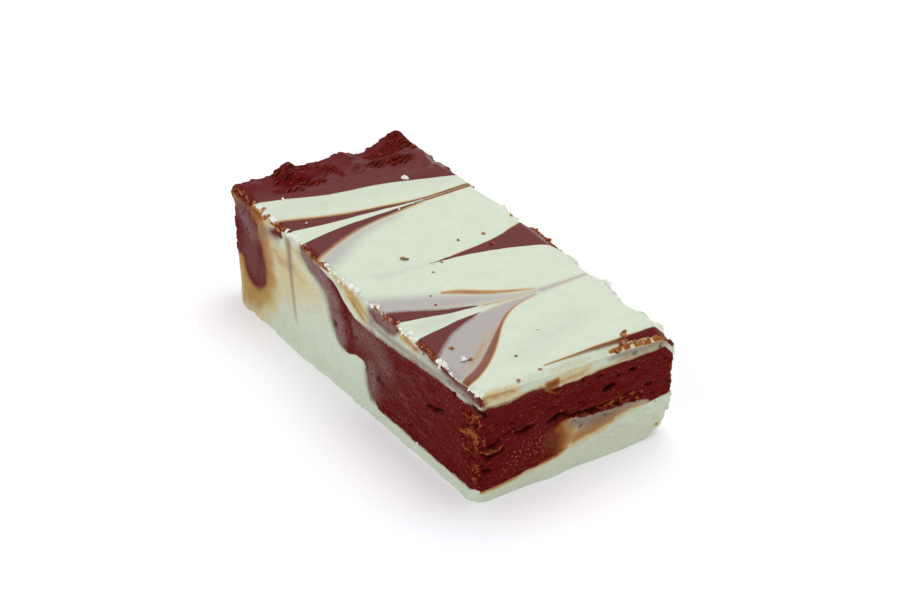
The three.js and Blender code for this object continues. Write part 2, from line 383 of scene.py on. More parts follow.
# each: places, softness in mm, strength
TOP_STAINS = [
    ([(-22.9, 12, 0.2), (-23.7, 6, 0.3), (-24.7, 1.1, 0.4), (-25.9, -5, 0.45), (-27.3, -10.4, 0.55),
      (-29.0, -15.4, 0.6), (-30.7, -19.6, 0.65), (-32.6, -25, 0.7)], 0.6, 0.72),
    ([(-21.4, 9, 0.2), (-20.9, 1.1, 0.35), (-20.3, -5, 0.45), (-19.1, -10.4, 0.55), (-17.4, -15.4, 0.6),
      (-15.6, -19.6, 0.65), (-13.0, -25, 0.7)], 0.7, 0.72),
    ([(-22.8, 26, 0.4), (-22.8, 18, 0.35), (-22.9, 10, 0.3)], 0.45, 0.95),
    ([(-21.9, 26, 0.4), (-21.9, 18, 0.35), (-21.9, 10, 0.3)], 0.45, 0.92),
    ([(22.9, 9, 0.15), (21.9, 6.8, 0.4), (20.1, 2.5, 0.65), (17.9, -1.4, 0.9), (15.1, -5.4, 0.95),
      (13.4, -8.6, 0.55)], 0.6, 0.7),
    ([(21.6, 5.2, 0.1), (19.0, -0.4, 0.3), (15.9, -5.0, 0.35)], 0.5, 0.88),
    ([(24.9, 8, 0.1), (26.1, 2.4, 0.2), (27.9, -1.6, 0.34), (31.2, -5.6, 0.5), (34.9, -9.4, 0.8),
      (38.4, -13.1, 1.0), (41.9, -17.4, 1.05), (44.2, -21.5, 1.2), (45.0, -25, 1.25)], 0.45, 0.94),
    ([(28.4, -5.5, 0.4), (32.0, -9.6, 1.0), (35.6, -13.4, 1.3), (39.2, -17.6, 1.3), (41.6, -21.5, 1.0)],
     2.0, 0.62),
    ([(29.6, -5.2, 0.2), (32.6, -8.8, 0.6), (36.0, -12.6, 0.6)], 1.0, 0.62),
    ([(24.2, 26, 0.3), (24.2, 17, 0.3), (24.0, 10, 0.3)], 0.6, 0.45),
    ([(24.0, 9, 0.1), (23.3, 1, 0.2), (22.3, -4, 0.3)], 0.5, 0.7),
    ([(24.2, 4, 0.1), (24.3, -4, 0.2)], 0.4, 0.5),
    ([(-1.9, 23, 0.25), (-0.9, 19, 0.25), (0.5, 15.4, 0.22), (1.35, 9.6, 0.2), (1.6, 2, 0.18)], 0.45, 0.78),
    ([(48.9, 20, 0.3), (48.8, 6, 0.3), (48.6, -6, 0.2)], 0.5, 0.74),
    ([(50.2, 4, 0.2), (50.4, -6, 0.3)], 0.8, 0.25),
    ([(51.2, -23.5, 0.9), (51.2, -19.5, 0.8), (51.4, -15.0, 0.3)], 1.4, 0.6),
    ([(19.6, -5, 1.2), (17.0, -10, 1.4)], 3.0, 0.34),
    ([(27.2, -9.6, 0.2), (29.6, -14, 0.3), (32.4, -18, 0.3)], 0.9, 0.55),
]
TOP_HAZES = [
    ([(-20.0, 1, 0.4), (-18.6, -7, 1.0), (-16.2, -14, 1.8), (-12.8, -20, 2.4), (-10.5, -25, 2.6)], 2.6, 0.75),
    ([(-26.9, -6, 0.2), (-30.5, -17, 0.5), (-34, -24, 0.8)], 1.3, 0.25),
    ([(-28, 22, 2.0), (-31, 6, 2.4), (-36, -20, 2.6)], 3.0, 0.16),
    ([(-22.3, 26, 0.6), (-22.3, 10, 0.6)], 0.5, 0.4),
    ([(1.8, -3.5, 0.2), (1.2, -9, 0.5), (0.4, -17, 0.9)], 1.6, 0.28),
    ([(24.2, 27, 0.35), (24.2, 17, 0.5), (24.1, 10, 0.9)], 0.7, 0.8),
    ([(24.0, 9, 0.4), (22.5, 3, 1.2), (20.3, -3, 2.0), (17.6, -9, 2.8), (14.6, -15, 3.2), (11.6, -21, 3.3),
      (9.5, -26, 3.3)], 2.4, 0.86),
    ([(24.7, 8, 0.3), (25.6, 0, 1.3), (27.4, -5.4, 2.9), (29.5, -9.5, 4.1), (31.8, -13, 5.0),
      (34.4, -16.5, 5.8), (37.3, -21, 6.3), (39, -26, 6.6)], 0.6, 0.95),
    ([(36, 12, 1.0), (39.5, 2, 1.8), (43, -8, 1.0)], 4.5, 0.22),
    ([(22, -12, 1.5), (22.5, -20, 2)], 2.0, 0.26),
]
TOP_CRUMBLY = [
    [(50.6, 25, 0.6), (50.5, 18, 0.55), (50.4, 13, 0.5), (50.3, 9.5, 0.3)],
    [(-2, 25.5, 0.8), (8, 25.5, 0.9)],
]

print("marks on top:", len(TOP_STREAKS), "streaks,", len(TOP_STAINS), "stains,", len(TOP_HAZES), "hazes")

# %% [markdown]
# ## The marks on the cut faces
# A knife opened these faces, so they show the layers from the side: patches of chocolate that the
# skewer pulled down from the top, a dark pocket near the far corner with a wide caramel halo, and a
# lens of mauve between chocolate and base on the near end.

# %% Marks on the cut side and the near end
CUT_STREAKS = [
    [(-19.4, 25.4, 1.2), (-16.5, 24.5, 1.9), (-12.6, 23.6, 1.9), (-8.6, 22.4, 1.8), (-4.5, 20.2, 2.2)],
    [(-46.5, 21, 4.4), (-44.6, 16.5, 5.5), (-43.2, 12.5, 5.5), (-42.5, 10.2, 5.2)],
    [(-51.8, 26.5, 0.8), (-51.6, 21, 1.8), (-50.6, 15.5, 2.6), (-49.6, 12, 1.8)],
    [(-51.5, 26.4, 1.3), (-47, 26.6, 1.2), (-43.5, 27.0, 0.8)],
    [(8.8, 25.6, 1.0), (12, 25.2, 1.8), (16.5, 25.4, 1.7), (19.2, 26.4, 0.8)],
    [(28.5, 27.3, 0.6), (33, 27.0, 1.0), (40, 26.8, 1.1), (47, 26.2, 1.3), (51, 25.8, 1.6)],
    [(-34.6, 23.8, 0.4), (-32.2, 24.9, 1.2), (-30.0, 25.6, 1.2)],
]
CUT_STAINS = [
    ([(-44, 22, 7.0), (-43, 14, 9.4), (-42.6, 9.5, 8.0)], 8.0, 0.95),
    ([(-36.6, 20, 0.8), (-36.2, 13, 1.0), (-38.4, 6.6, 1.3), (-42.5, 3.9, 1.2)], 3.2, 0.82),
    ([(-49.8, 12, 0.4), (-47.8, 7.5, 0.4), (-46.6, 0.8, 0.4)], 0.9, 0.84),
    ([(-50, 24, 1.5), (-45, 23.6, 2.0), (-40.5, 24.6, 1.8)], 2.2, 0.82),
    ([(-34, 20, 2), (-30, 18, 2.5), (-25, 19.5, 2.5), (-20, 18, 1.5)], 3.6, 0.5),
    ([(-33, 20, 3), (-29, 13, 5), (-22, 17, 5), (-14, 17, 3)], 7.5, 0.32),
    ([(-35.5, 19, 1.0), (-32, 19.8, 1.1), (-29.0, 17.8, 0.9)], 2.6, 0.64),
    ([(-23.5, 21.0, 0.5), (-21.5, 17.0, 0.8), (-19.5, 15.0, 0.4)], 2.2, 0.48),
    ([(-26.0, 24.5, 0.6), (-22.5, 24.0, 1.0), (-20, 22.5, 0.6)], 1.6, 0.45),
    ([(-8, 26.7, 0.7), (-3.5, 26.0, 1.2), (2, 25.0, 1.9), (6.5, 24.0, 1.2)], 1.6, 0.5),
    ([(-2.0, 24.3, 0.4), (1.5, 23.7, 1.1), (4.5, 22.6, 1.0), (6.5, 21.6, 0.4)], 1.5, 0.66),
    ([(1.6, 26.0, 0.1), (2.2, 23.0, 0.25)], 0.8, 0.8),
    ([(19.6, 26.6, 0.7), (22.5, 26.2, 1.1), (26.5, 25.8, 0.8)], 1.1, 0.6),
    ([(19.8, 25.2, 0.2), (24, 25.0, 0.4)], 0.7, 0.7),
    ([(-26.4, 24.8, 0.9), (-25.6, 19, 0.7), (-25.0, 13, 0.5), (-24.2, 7, 0.15)], 1.5, 0.55),
    ([(-50.4, 8.6, 0.6), (-49.2, 5.6, 1.0), (-48.0, 2.8, 0.5)], 0.8, 0.5),
    ([(5, 10.9, 0.2), (1.5, 10.4, 0.3)], 0.7, 0.72),
]
CUT_HAZES = [
    ([(-20.5, 25.0, 1.2), (-12, 22.3, 1.6), (-8.0, 18, 1.6), (-6.8, 14.0, 1.4), (-3.4, 10.6, 0.8)],
     2.0, 0.85),
    ([(7.0, 9.5, 1.2), (7.2, 6, 1.2), (8.8, 4.8, 0.6)], 2.0, 0.8),
    ([(9.4, 26.2, 1.2), (9.2, 24.0, 1.6), (8.4, 21.6, 0.9)], 2.0, 0.82),
    ([(9.5, 22.6, 0.9), (14, 22.2, 0.9), (25, 23.1, 0.8), (36, 24.2, 0.9), (43, 25.0, 1.5), (48, 24.8, 1.6)],
     1.2, 0.8),
    ([(26, 25.6, 0.6), (34, 25.3, 0.8), (42, 25.3, 1.2)], 1.0, 0.5),
    ([(-47.5, 22.5, 2.6), (-43.0, 20.5, 2.8), (-39.5, 20, 1.6)], 2.6, 0.7),
    ([(-26.6, 25.2, 1.1), (-25.9, 20, 0.9), (-25.2, 14, 0.6), (-24.6, 9, 0.35), (-24.0, 5.5, 0.1)],
     1.0, 0.72),
    ([(-37.8, 22.8, 1.0), (-34.5, 23.4, 1.3), (-31.5, 24.2, 1.1)], 1.6, 0.8),
    ([(-44, 12, 2.2), (-43, 9, 2.0)], 1.8, 0.6),
]
NEAR_STREAKS = [
    ([(15.5, 26.6, 0.2), (20, 26.5, 0.45), (25.5, 26.1, 0.7)], 0.9),
    ([(-16.5, 23.2, 0.8), (-12.5, 23.6, 1.2), (-9.0, 23.3, 1.1)], 0.5),
    ([(-25.0, 26.2, 1.2), (-23.4, 25.2, 0.7)], 1.1),
]
NEAR_STAINS = [
    ([(0, 8.0, 1.8), (5, 8.8, 1.7), (10, 9.7, 1.2), (15, 10.4, 0.7), (19, 10.7, 0.3)], 2.2, 0.72),
    ([(-23.4, 27.6, 2.2), (-19.5, 27.2, 2.0), (-16, 26.2, 1.0)], 2.2, 0.58),
    ([(-23.8, 24.4, 0.5), (-16.5, 24.2, 0.6), (-9, 24.6, 0.5)], 1.4, 0.6),
    ([(-6.7, 24.0, 1.2), (-5.4, 24.1, 1.2)], 1.1, 0.94),
    ([(-4.0, 24.2, 0.9), (-0.5, 24.3, 0.9), (3, 24.6, 0.5)], 1.8, 0.6),
    ([(-2, 25.6, 0.7), (4, 26.0, 0.8), (9, 26.2, 0.4)], 1.4, 0.36),
    ([(6, 26.2, 0.3), (8.5, 26.4, 0.4)], 0.8, 0.55),
    ([(-1, 23.5, 0.3), (10, 23.3, 0.3), (22, 23.5, 0.3)], 0.9, 0.6),
    ([(24.5, 26, 0.4), (26, 22, 0.4)], 0.8, 0.8),
    ([(-20, 3, 2), (0, 4, 2), (22, 4, 3)], 4.0, 0.13),
    ([(22.0, 3.2, 0.4), (23.0, 2.8, 0.4)], 0.5, 0.8),
]
NEAR_GLOW = [([(-8.6, 12.5, 6.2), (-7.6, 9, 7.2)], 5.5, 1.0)]
NEAR_HAZES = [
    ([(-0.8, 12.2, 0.9), (3, 11.3, 1.9), (7, 11.3, 2.0), (12, 11.7, 1.6), (17, 11.7, 1.1)], 1.5, 0.84),
    ([(9.0, 25.0, 0.5), (14, 25.0, 1.4), (20, 25.0, 1.6), (25, 24.6, 1.4)], 1.2, 0.75),
    ([(-22, 22, 0.5), (-10, 23.2, 0.4)], 1.5, 0.2),
]
NEAR_CLEARED = [
    [(-5.6, 9.8, 2.2), (-3.2, 9.6, 3.4), (-1.5, 9.7, 3.9), (2.1, 9.4, 3.2), (5.7, 9.7, 2.6),
     (9.2, 9.9, 2.1), (12.8, 10.1, 1.7), (16.4, 10.3, 1.1), (19.5, 10.4, 0.3)],
]
# painted sheen: greyish patches where the cut chocolate would reflect the white room
CUT_SHEENS = [
    ([(-5.4, 15.4, 2.8), (-4.4, 11.8, 2.2)], 1.6, 0.85),
    ([(-10, 22.6, 1.7), (-6.4, 19.6, 2.0)], 1.8, 0.85),
    ([(-18.5, 25.0, 1.8), (-11, 23.4, 2.0)], 1.6, 0.95),
    ([(8.6, 10, 2.2), (9.0, 5.2, 1.8)], 3.5, 0.85),
    ([(1.5, 16.5, 2.4), (8, 17.6, 2.5), (14, 14, 2.5)], 4.5, 0.6),
    ([(9, 27, 1.6), (13.5, 25.6, 1.8), (18, 25.8, 1.0)], 1.2, 0.8),
    ([(44, 26.2, 1.4), (49, 24.6, 1.4)], 1.6, 0.5),
    ([(-47.5, 22.5, 2.6), (-43, 19.5, 2.8)], 2.4, 0.62),
    ([(-44, 17, 4), (-43, 11, 4)], 2.0, 0.26),
]
CUT_DARK_CURL = [(-6.8, 25.2, 0.4), (-4.2, 23.6, 0.7), (-2.4, 20.6, 0.9), (-0.4, 17, 1.0), (0.6, 13.2, 0.9),
                 (-0.2, 10.4, 0.5)]
CUT_CRUMBLY = [
    [(-52, 26.6, 1.3), (-47.5, 26.8, 1.6), (-42, 26.4, 1.2), (-38.5, 25.4, 0.8)],
    [(-34.5, 26.9, 0.8), (-29.5, 27.2, 0.8)],
    [(-20.5, 26.9, 0.8), (-13, 27.0, 0.8), (-9, 26.6, 0.5)],
    [(9.5, 27.2, 0.5), (18.5, 27.3, 0.6)],
    [(28, 27.5, 0.7), (34.5, 27.6, 0.5)],
]
CUT_SOFT = [
    ([(-20, 25, 1.6), (-12, 22.5, 1.8), (-8, 17, 1.6), (-6.5, 12.5, 1.4), (-3.4, 10, 0.8)], 1.6, 1.3),
    ([(6.6, 9.5, 1.2), (7.0, 5, 1.2), (10, 2.8, 0.8)], 1.5, 0.9),
    ([(-48, 23, 3.0), (-42, 21, 2.5)], 2.0, 1.7),
    ([(-44, 13, 5.5), (-43, 8, 5.0)], 1.5, 0.7),
    ([(8, 26, 2.0), (13, 24.6, 1.6), (19, 25, 1.5)], 1.2, 0.8),
    ([(-36, 23.5, 2.0), (-31, 24, 1.5)], 1.0, 0.7),
    ([(28, 25.8, 0.7), (40, 25.4, 0.8), (50, 24.0, 1.0)], 0.8, 0.6),
    ([(5, 20.6, 0.8), (14, 20.8, 0.8), (25, 22.2, 0.8), (38, 23.3, 0.8)], 0.8, 0.75),
    ([(-46, 5.5, 1.5), (-38.5, 6.5, 1.5), (-36.8, 14, 1.5), (-38.5, 20, 1.5)], 1.5, 0.6),
]
CUT_MUSTARD = [
    ([(-50.4, 8.8, 0.7), (-49.2, 5.8, 1.1), (-48.0, 3.0, 0.6)], 0.9, 0.95),
    ([(-46, 2.6, 0.8), (-41, 3.2, 1.2), (-36, 5.6, 1.2), (-33.5, 10, 0.8)], 2.6, 0.42),
    ([(-31, 21, 1.2), (-28, 19.5, 1.2)], 2.0, 0.3),
    ([(-29.6, 25.6, 0.7), (-28.2, 25.6, 0.7)], 1.0, 0.5),
    ([(-5.5, 26.6, 0.6), (-1.0, 26.4, 0.8), (3.4, 24.4, 1.2), (4.6, 22.8, 0.8)], 1.4, 0.4),
    ([(19.6, 26.4, 0.6), (21.4, 26.2, 0.6)], 0.8, 0.45),
]
FLECKED = [(-17.5, 7, 1.6), (-13, 8.5, 3.4), (-8, 9.6, 3.6), (-5.5, 9, 2.0)]
FLAKY_ROW = [(-3.6, 14.0, 0.7), (2, 13.6, 0.9), (7, 13.4, 0.9), (12.5, 13.5, 1.1), (16.5, 12.6, 1.5)]

# lips of torn fudge round the near corner, and the cracks under them: places, height or depth in mm
CUT_LIPS = [
    ([(44.4, 15.6, 0.35), (46.4, 16.2, 0.6), (48.9, 17.6, 0.7), (50.2, 16.4, 0.6), (51.4, 14.2, 0.5)], 0.9),
    ([(44.6, 19.8, 0.3), (46.4, 20.4, 0.5), (47.6, 18.8, 0.3)], 0.6),
    ([(48.6, 21.2, 0.3), (50.4, 22.0, 0.4), (50.9, 19.0, 0.3)], 0.6),
    ([(43.2, 12.6, 0.25), (45.8, 11.8, 0.4), (48.2, 12.2, 0.3)], 0.5),
    ([(49.4, 9.0, 0.3), (51.0, 8.2, 0.5)], 0.6),
    ([(49.6, 6.0, 0.3), (51.0, 5.4, 0.4)], 0.5),
]
CUT_CRACKS = [
    ([(48.4, 23.6, 0.2), (50.4, 23.0, 0.5), (51.6, 22.6, 0.4)], 1.4),
    ([(46.9, 19.6, 0.3), (48.2, 18.9, 0.4), (49.9, 19.4, 0.4)], 1.4),
    ([(45.6, 18.0, 0.2), (47.4, 17.3, 0.2)], 0.9),
    ([(46.4, 11.0, 0.2), (47.9, 10.7, 0.5), (49.2, 10.2, 0.3)], 1.3),
    ([(43.6, 14.4, 0.15), (45.6, 13.6, 0.2)], 0.7),
    ([(44.8, 9.4, 0.15), (46.2, 8.8, 0.2)], 0.6),
    ([(30.6, 13.6, 0.3), (33.2, 14.2, 0.5), (36.6, 15.3, 0.4)], 0.9),
]
NEAR_LIPS = [
    ([(-24.0, 13.6, 0.35), (-22.2, 12.9, 0.4), (-20.4, 12.9, 0.35), (-18.9, 13.6, 0.2)], 0.7),
    ([(-23.9, 17.5, 0.3), (-23.2, 15.2, 0.4)], 0.6),
    ([(-8.2, 24.6, 0.25), (-7.2, 22.7, 0.3), (-5.4, 22.2, 0.35), (-4.0, 23.2, 0.25)], 0.35),
    ([(-4.2, 13.6, 0.5), (-1.8, 13.9, 0.4)], 0.4),
]
NEAR_CRACKS = [
    ([(-22.6, 11.5, 0.3), (-20.4, 11.5, 0.4), (-18.6, 12.3, 0.4)], 1.5),
    ([(-22.2, 14.0, 0.2), (-20.6, 14.1, 0.35), (-19.2, 14.8, 0.2)], 1.1),
    ([(-20.0, 15.6, 0.15), (-16.0, 16.6, 0.35), (-11.5, 17.4, 0.15)], 0.5),
    ([(-15.6, 15.2, 0.2), (-13, 15.3, 0.5), (-11, 15.5, 0.3)], 1.3),
    ([(-7.0, 14.9, 0.3), (-4.8, 15.1, 0.7), (-2.4, 15.5, 0.5)], 1.7),
    ([(-1.8, 14.5, 0.2), (1, 14.1, 0.3), (5.5, 13.9, 0.2)], 1.2),
    ([(7.2, 17.6, 0.3), (8.8, 17.9, 0.6), (10.0, 18.2, 0.4)], 1.5),
    ([(-22.9, 8.0, 0.3), (-21.6, 7.7, 0.4)], 1.0),
]


# each: place along the face, height, half length, half height, depth
CUT_HOLES = [
    (-6.3, 14.5, 1.0, 0.8, 0.8), (11.0, 9.3, 1.1, 0.9, 0.9), (13.0, 9.0, 0.7, 0.6, 0.7),
    (41.6, 23.0, 0.8, 0.5, 0.7), (45.2, 24.4, 0.5, 0.4, 0.7), (-3.3, 14.2, 0.5, 0.4, 0.5),
    (39.8, 24.9, 0.5, 0.4, 0.6), (29.4, 23.1, 0.6, 0.35, 0.6), (33.4, 18.8, 0.6, 0.4, 0.5),
    (24.4, 9.0, 0.5, 0.5, 0.5), (-4.9, 24.3, 0.4, 0.3, 0.5), (-46.5, 23.6, 0.5, 0.4, 0.5),
    (-45.3, 19.6, 0.4, 0.5, 0.5), (-43.6, 22.0, 0.3, 0.4, 0.4), (2.4, 15.2, 0.6, 0.4, 0.5),
]
NEAR_HOLES = [
    (1.6, 10.6, 0.55, 0.5, 0.9), (8.2, 10.8, 0.4, 0.5, 0.8), (11.2, 12.2, 0.7, 0.4, 0.9),
    (14.8, 20.4, 1.3, 0.4, 1.0), (15.2, 24.3, 0.5, 0.55, 0.9), (-5.2, 12.9, 0.4, 0.4, 0.4),
    (21.9, 23.9, 0.6, 0.5, 0.9), (6.1, 21.6, 1.3, 0.3, 0.8), (11.4, 12.8, 1.0, 0.35, 1.0),
    (19.6, 14.8, 0.9, 0.35, 0.8), (-6.0, 17.9, 1.6, 0.25, 0.5), (4.6, 13.3, 1.1, 0.35, 0.9),
    (16.0, 13.4, 0.9, 0.35, 0.9), (-23.0, 8.4, 0.8, 0.4, 0.9), (7.6, 14.1, 1.4, 0.3, 0.8),
    (13.5, 14.6, 1.2, 0.25, 0.7), (-16.5, 18.2, 1.2, 0.25, 0.5), (2.0, 16.4, 1.5, 0.22, 0.5),
]


def random_holes(seed, count, along, heights, largest):
    """Small holes spread over a face, most of them tiny."""
    draw = np.random.default_rng(seed)
    holes = []
    for _ in range(count):
        size = largest * (0.25 + 0.75 * draw.random() ** 3)
        a, b = draw.uniform(*along), draw.uniform(*heights)
        holes.append((a, b, size * draw.uniform(1.0, 2.2), size * 0.6, size * draw.uniform(0.8, 1.4)))
    return holes


def hole_depth(a, b, holes, seed):
    """How deep each point lies in the holes, whose rims are ragged."""
    ragged = 0.45 * rough(a / 0.9, b / 0.45, seed, 2)
    depth = np.zeros(np.shape(a))
    for place, height, half_length, half_height, deep in holes:
        r = np.hypot((a - place) / half_length, (b - height) / half_height) + ragged
        depth = np.maximum(depth, deep * ease(1.15, 0.55, r))
    return depth


def ridge_height(a, b, ridges, seed):
    """The highest of several strokes, each with its own height, a little wavy."""
    wavy_a = a + 0.3 * noise(a / 0.9, b / 0.9, seed)
    wavy_b = b + 0.3 * noise(a / 0.9, b / 0.9, seed + 1)
    height = np.zeros(np.shape(a))
    for places, amount in ridges:
        height = np.maximum(height, amount * ease(-0.3, 0.35, stroke(wavy_a, wavy_b, places)))
    return height


CUT_HOLES += random_holes(3, 70, (6, 51), (3, 24), 0.45)
NEAR_HOLES += random_holes(4, 60, (-23, 25), (5, 23), 0.5)
CRUMBLY_HOLES = random_holes(5, 90, (-49, 50), (10, 23), 0.8)
FAR_HOLES = random_holes(6, 60, (-22, 24), (9, 27), 0.9)
print("holes on the near end:", len(NEAR_HOLES))

# %% [markdown]
# ## The poured top
# The top set against nothing but air, so it is flat and glossy. The chocolate strip at the far end
# buckled as it set: it has fine creases along its edge, then clusters of crags with bubbles torn open,
# and a crest at the far edge. Both long rims are chipped where the knife left.

# %% Height of the top
CRAGS = [
    [(-50.8, -12, 1.9), (-49.4, -7, 2.1), (-47.8, -3.6, 1.4)],
    [(-47.0, -13.5, 1.7), (-44.4, -9, 2.1), (-42.2, -5.6, 1.1)],
    [(-43.8, -16.5, 0.9), (-41.9, -11.2, 0.9)],
    [(-46.8, -1.4, 0.9), (-42.6, 0.1, 0.9)],
    [(-42.9, 8.5, 1.2), (-42.0, 13, 2.1), (-40.6, 18, 1.4)],
    [(-47.4, 11, 1.6), (-46.6, 16.5, 2.5), (-47.6, 20, 2.2), (-45.0, 22.5, 1.2)],
]
ROW_SPACING = 1.1
CREASES = [
    [(-36.6, 22, 0.3), (-38.3, 15.4, 0.35), (-39.5, 4.6, 0.35), (-40.9, -4.6, 0.3)],
    [(-38.2, 20, 0.2), (-40.2, 8, 0.25), (-41.6, -4, 0.25), (-42.6, -20, 0.2)],
]


def craggy(x, y):
    return widest(x, y, CRAGS, 0.9)


def torn_rows(x, y):
    """Rows of small tears along the strip: how far inside a tear, and on the lip beside it."""
    lean = x + 0.22 * y + 0.55 * noise(x / 2.2, y / 3.0, 40)
    wave = np.sin(lean * 2 * math.pi / ROW_SPACING)
    broken = ease(-0.35, 0.2, noise(lean / ROW_SPACING, y / 1.2, 45))
    return ease(0.0, 0.8, wave) * broken, ease(0.0, -0.8, wave) * broken


def crag_relief(x, y):
    tears, lips = torn_rows(x, y)
    lumps = 0.3 * rough(x / 1.6, y / 2.4, 41, 3)
    ribs = 0.035 * noise((x + 0.3 * y) / 0.5, y / 7, 48) * ease(-38, -42, x)
    return craggy(x, y) * (lumps + 0.15 * lips - 0.75 * tears) + ribs


def rim_chips(x, y):
    """Small bites out of the top's rims, deepest at the very edge."""
    bites = np.clip(rough(x / 0.9, y / 2.0, 51, 3), -0.15, 1)
    cut_rim = ease(0.9, 0.0, y - CUT_SIDE) * bites * 0.55
    ragged = rough(x / 2.6, y / 1.5, 52, 4)
    crumbly_rim = ease(2.2, 0.3, CRUMBLY_SIDE - y) * np.clip(ragged, -0.3, 1) * 0.9
    near_rim = ease(2.0, 0.6, NEAR - x) * rough(x / 1.8, y / 2.4, 53, 2) * 0.03
    far_rim = ease(1.4, 0.2, x - FAR) * rough(x / 0.8, y / 1.0, 54, 3) * 0.35
    return cut_rim + crumbly_rim + near_rim + far_rim


def top_height(x, y):
    in_strip = ease(0, 9, strip_edge(y) - x)
    profile = (
        0.95 * hump(y, -10.5, 2.7)
        + 0.25 * hump(y, -20.5, 3.5)
        + 0.3 * hump(y, 4.5, 1.6)
        - 0.7 * hump(y, 10.5, 3.6)
        + 0.75 * hump(y, 19.5, 3.2)
    )
    crest = CREST_HEIGHT * profile * ease(-42, -49, x)
    wrinkles = 0.8 * in_strip * noise(x * 0.42 + y * 0.1, y * 0.24, 3) * ease(FAR, FAR + 2, x)
    bevel_run = mix(0.8, NEAR_BEVEL_RUN, across(y))
    bevel = mix(0.7, NEAR_BEVEL_DROP, across(y)) * ease(NEAR - bevel_run, NEAR + 0.8, x)
    cut_edge = CUT_EDGE_ROUND * (1 + 0.5 * noise(x * 0.3, 0, 5)) * ease(CUT_SIDE + 1.3, CUT_SIDE - 0.3, y)
    uneven = 1 + 0.3 * noise(x * 0.3, 9, 6)
    worn_away = CRUMBLY_BEVEL_DROP * uneven * mix(0.9, 1, ease(FAR, FAR + 8, x))
    crumbly_edge = worn_away * ease(CRUMBLY_SIDE - CRUMBLY_BEVEL_RUN, CRUMBLY_SIDE + 0.6, y)
    far_edge = EDGE_ROUND * ease(FAR + 1.4, FAR - 0.4, x)
    return TOP_HEIGHT + crest + wrinkles - bevel - cut_edge - crumbly_edge - far_edge


def top_relief(x, y):
    a, b = x - PATTERN_MIDDLE_X, y - PATTERN_MIDDLE_Y
    creases = widest(a, b, CREASES, 0.5)
    in_strip = ease(0, 1.5, strip_edge(y) - x)
    poured = 0.06 * noise(x / 9, y / 7, 49)
    crumbly = widest(a, b, TOP_CRUMBLY, 0.5) * 0.35 * rough(x / 0.9, y / 0.9, 50, 3)
    return poured + in_strip * (crag_relief(a, b) - 0.14 * creases) + crumbly - rim_chips(x, y)


sample = np.linspace(FAR, NEAR, 5)
print("top's height along the middle:", np.round(top_height(sample, np.zeros(5)), 1))

# %% [markdown]
# ## The sides
# The four sides aren't flat either. The knife dragged the soft fudge, so the cut side has fine scrapes
# along it, and the layers tore where air was trapped. The foot is squashed outwards where the bar sat
# in its tray. `settled` bends the plain block to that plan, and the depths dig into its sides.

# %% Bend the block's sides
DEPTH_REACH = 1.4  # mm in from a side where its depth has faded away
CUT_LIP_SEED, NEAR_LIP_SEED = 163, 167


def corner_radius(x, y, z):
    low = ease(9, 0, z)
    far_cut = mix(CORNER_RADIUS, 4.5, ease(10, 0, z))
    far_crumbly = mix(2, 4.5, low)
    near_cut = mix(0.9, 3.6, ease(4, 0.5, z))
    near_crumbly = mix(CORNER_RADIUS, 5, low)
    at_far = np.where(y < MID_Y, far_cut, far_crumbly)
    at_near = np.where(y < MID_Y, near_cut, near_crumbly)
    return np.where(x < 0, at_far, at_near)


def tuck(z, radius):
    t = np.clip(1 - z / radius, 0, 1)
    return radius * (1 - np.sqrt(1 - t * t))


def settled(x, y, z):
    """Where a point of the plain block lies on the bar's uneven plan."""
    radius = corner_radius(x, y, z)
    end_x, end_y = np.where(x < 0, -FAR, NEAR), SPAN_Y / 2
    a = np.clip((np.abs(x) - (end_x - radius)) / radius, 0, 1)
    b = np.clip((np.abs(y - MID_Y) - (end_y - radius)) / radius, 0, 1)
    at_corner = (a > 0) & (b > 0)
    round_x = np.sign(x) * (end_x - radius + radius * a * np.sqrt(1 - b * b / 2))
    round_y = MID_Y + np.sign(y - MID_Y) * (end_y - radius + radius * b * np.sqrt(1 - a * a / 2))
    px, py = np.where(at_corner, round_x, x), np.where(at_corner, round_y, y)

    near_cut, near_crumbly = ease(9, 0, y - CUT_SIDE), ease(14, 0, CRUMBLY_SIDE - y)
    near_far, near_near = ease(18, 0, x - FAR), ease(9, 0, NEAR - x)
    foot = mix(FOOT_FLARE, FAR_FOOT_FLARE, ease(20, -20, x)) * hump(z, 0, 2.6)
    py = py - near_cut * (foot + 0.25 * noise(x / 6, z / 5, 21))
    py = py - near_crumbly * (tuck(z, UNDER_ROUND) + 0.35 * (1 + noise(x / 4, z / 4, 22)))
    py = py - near_crumbly * 1.2 * hump(x, 36, 4) * ease(20, TOP_HEIGHT, z)
    py = py - near_crumbly * 0.9 * ease(-29, -37, x) * ease(12, TOP_HEIGHT, z)
    py = py - near_crumbly * 1.2 * hump(x, -36.5, 4) * ease(10, 20, z)
    undercut = FAR_UNDERCUT * ease(14, 2, z)
    px = px + near_far * (tuck(z, UNDER_ROUND) + 0.5 * noise(y / 4, z / 4, 23) + undercut)
    px = px + near_near * (0.35 * noise(y / 6, z / 2.2, 24) - 0.4 * ease(20, 4, z))
    return px, py


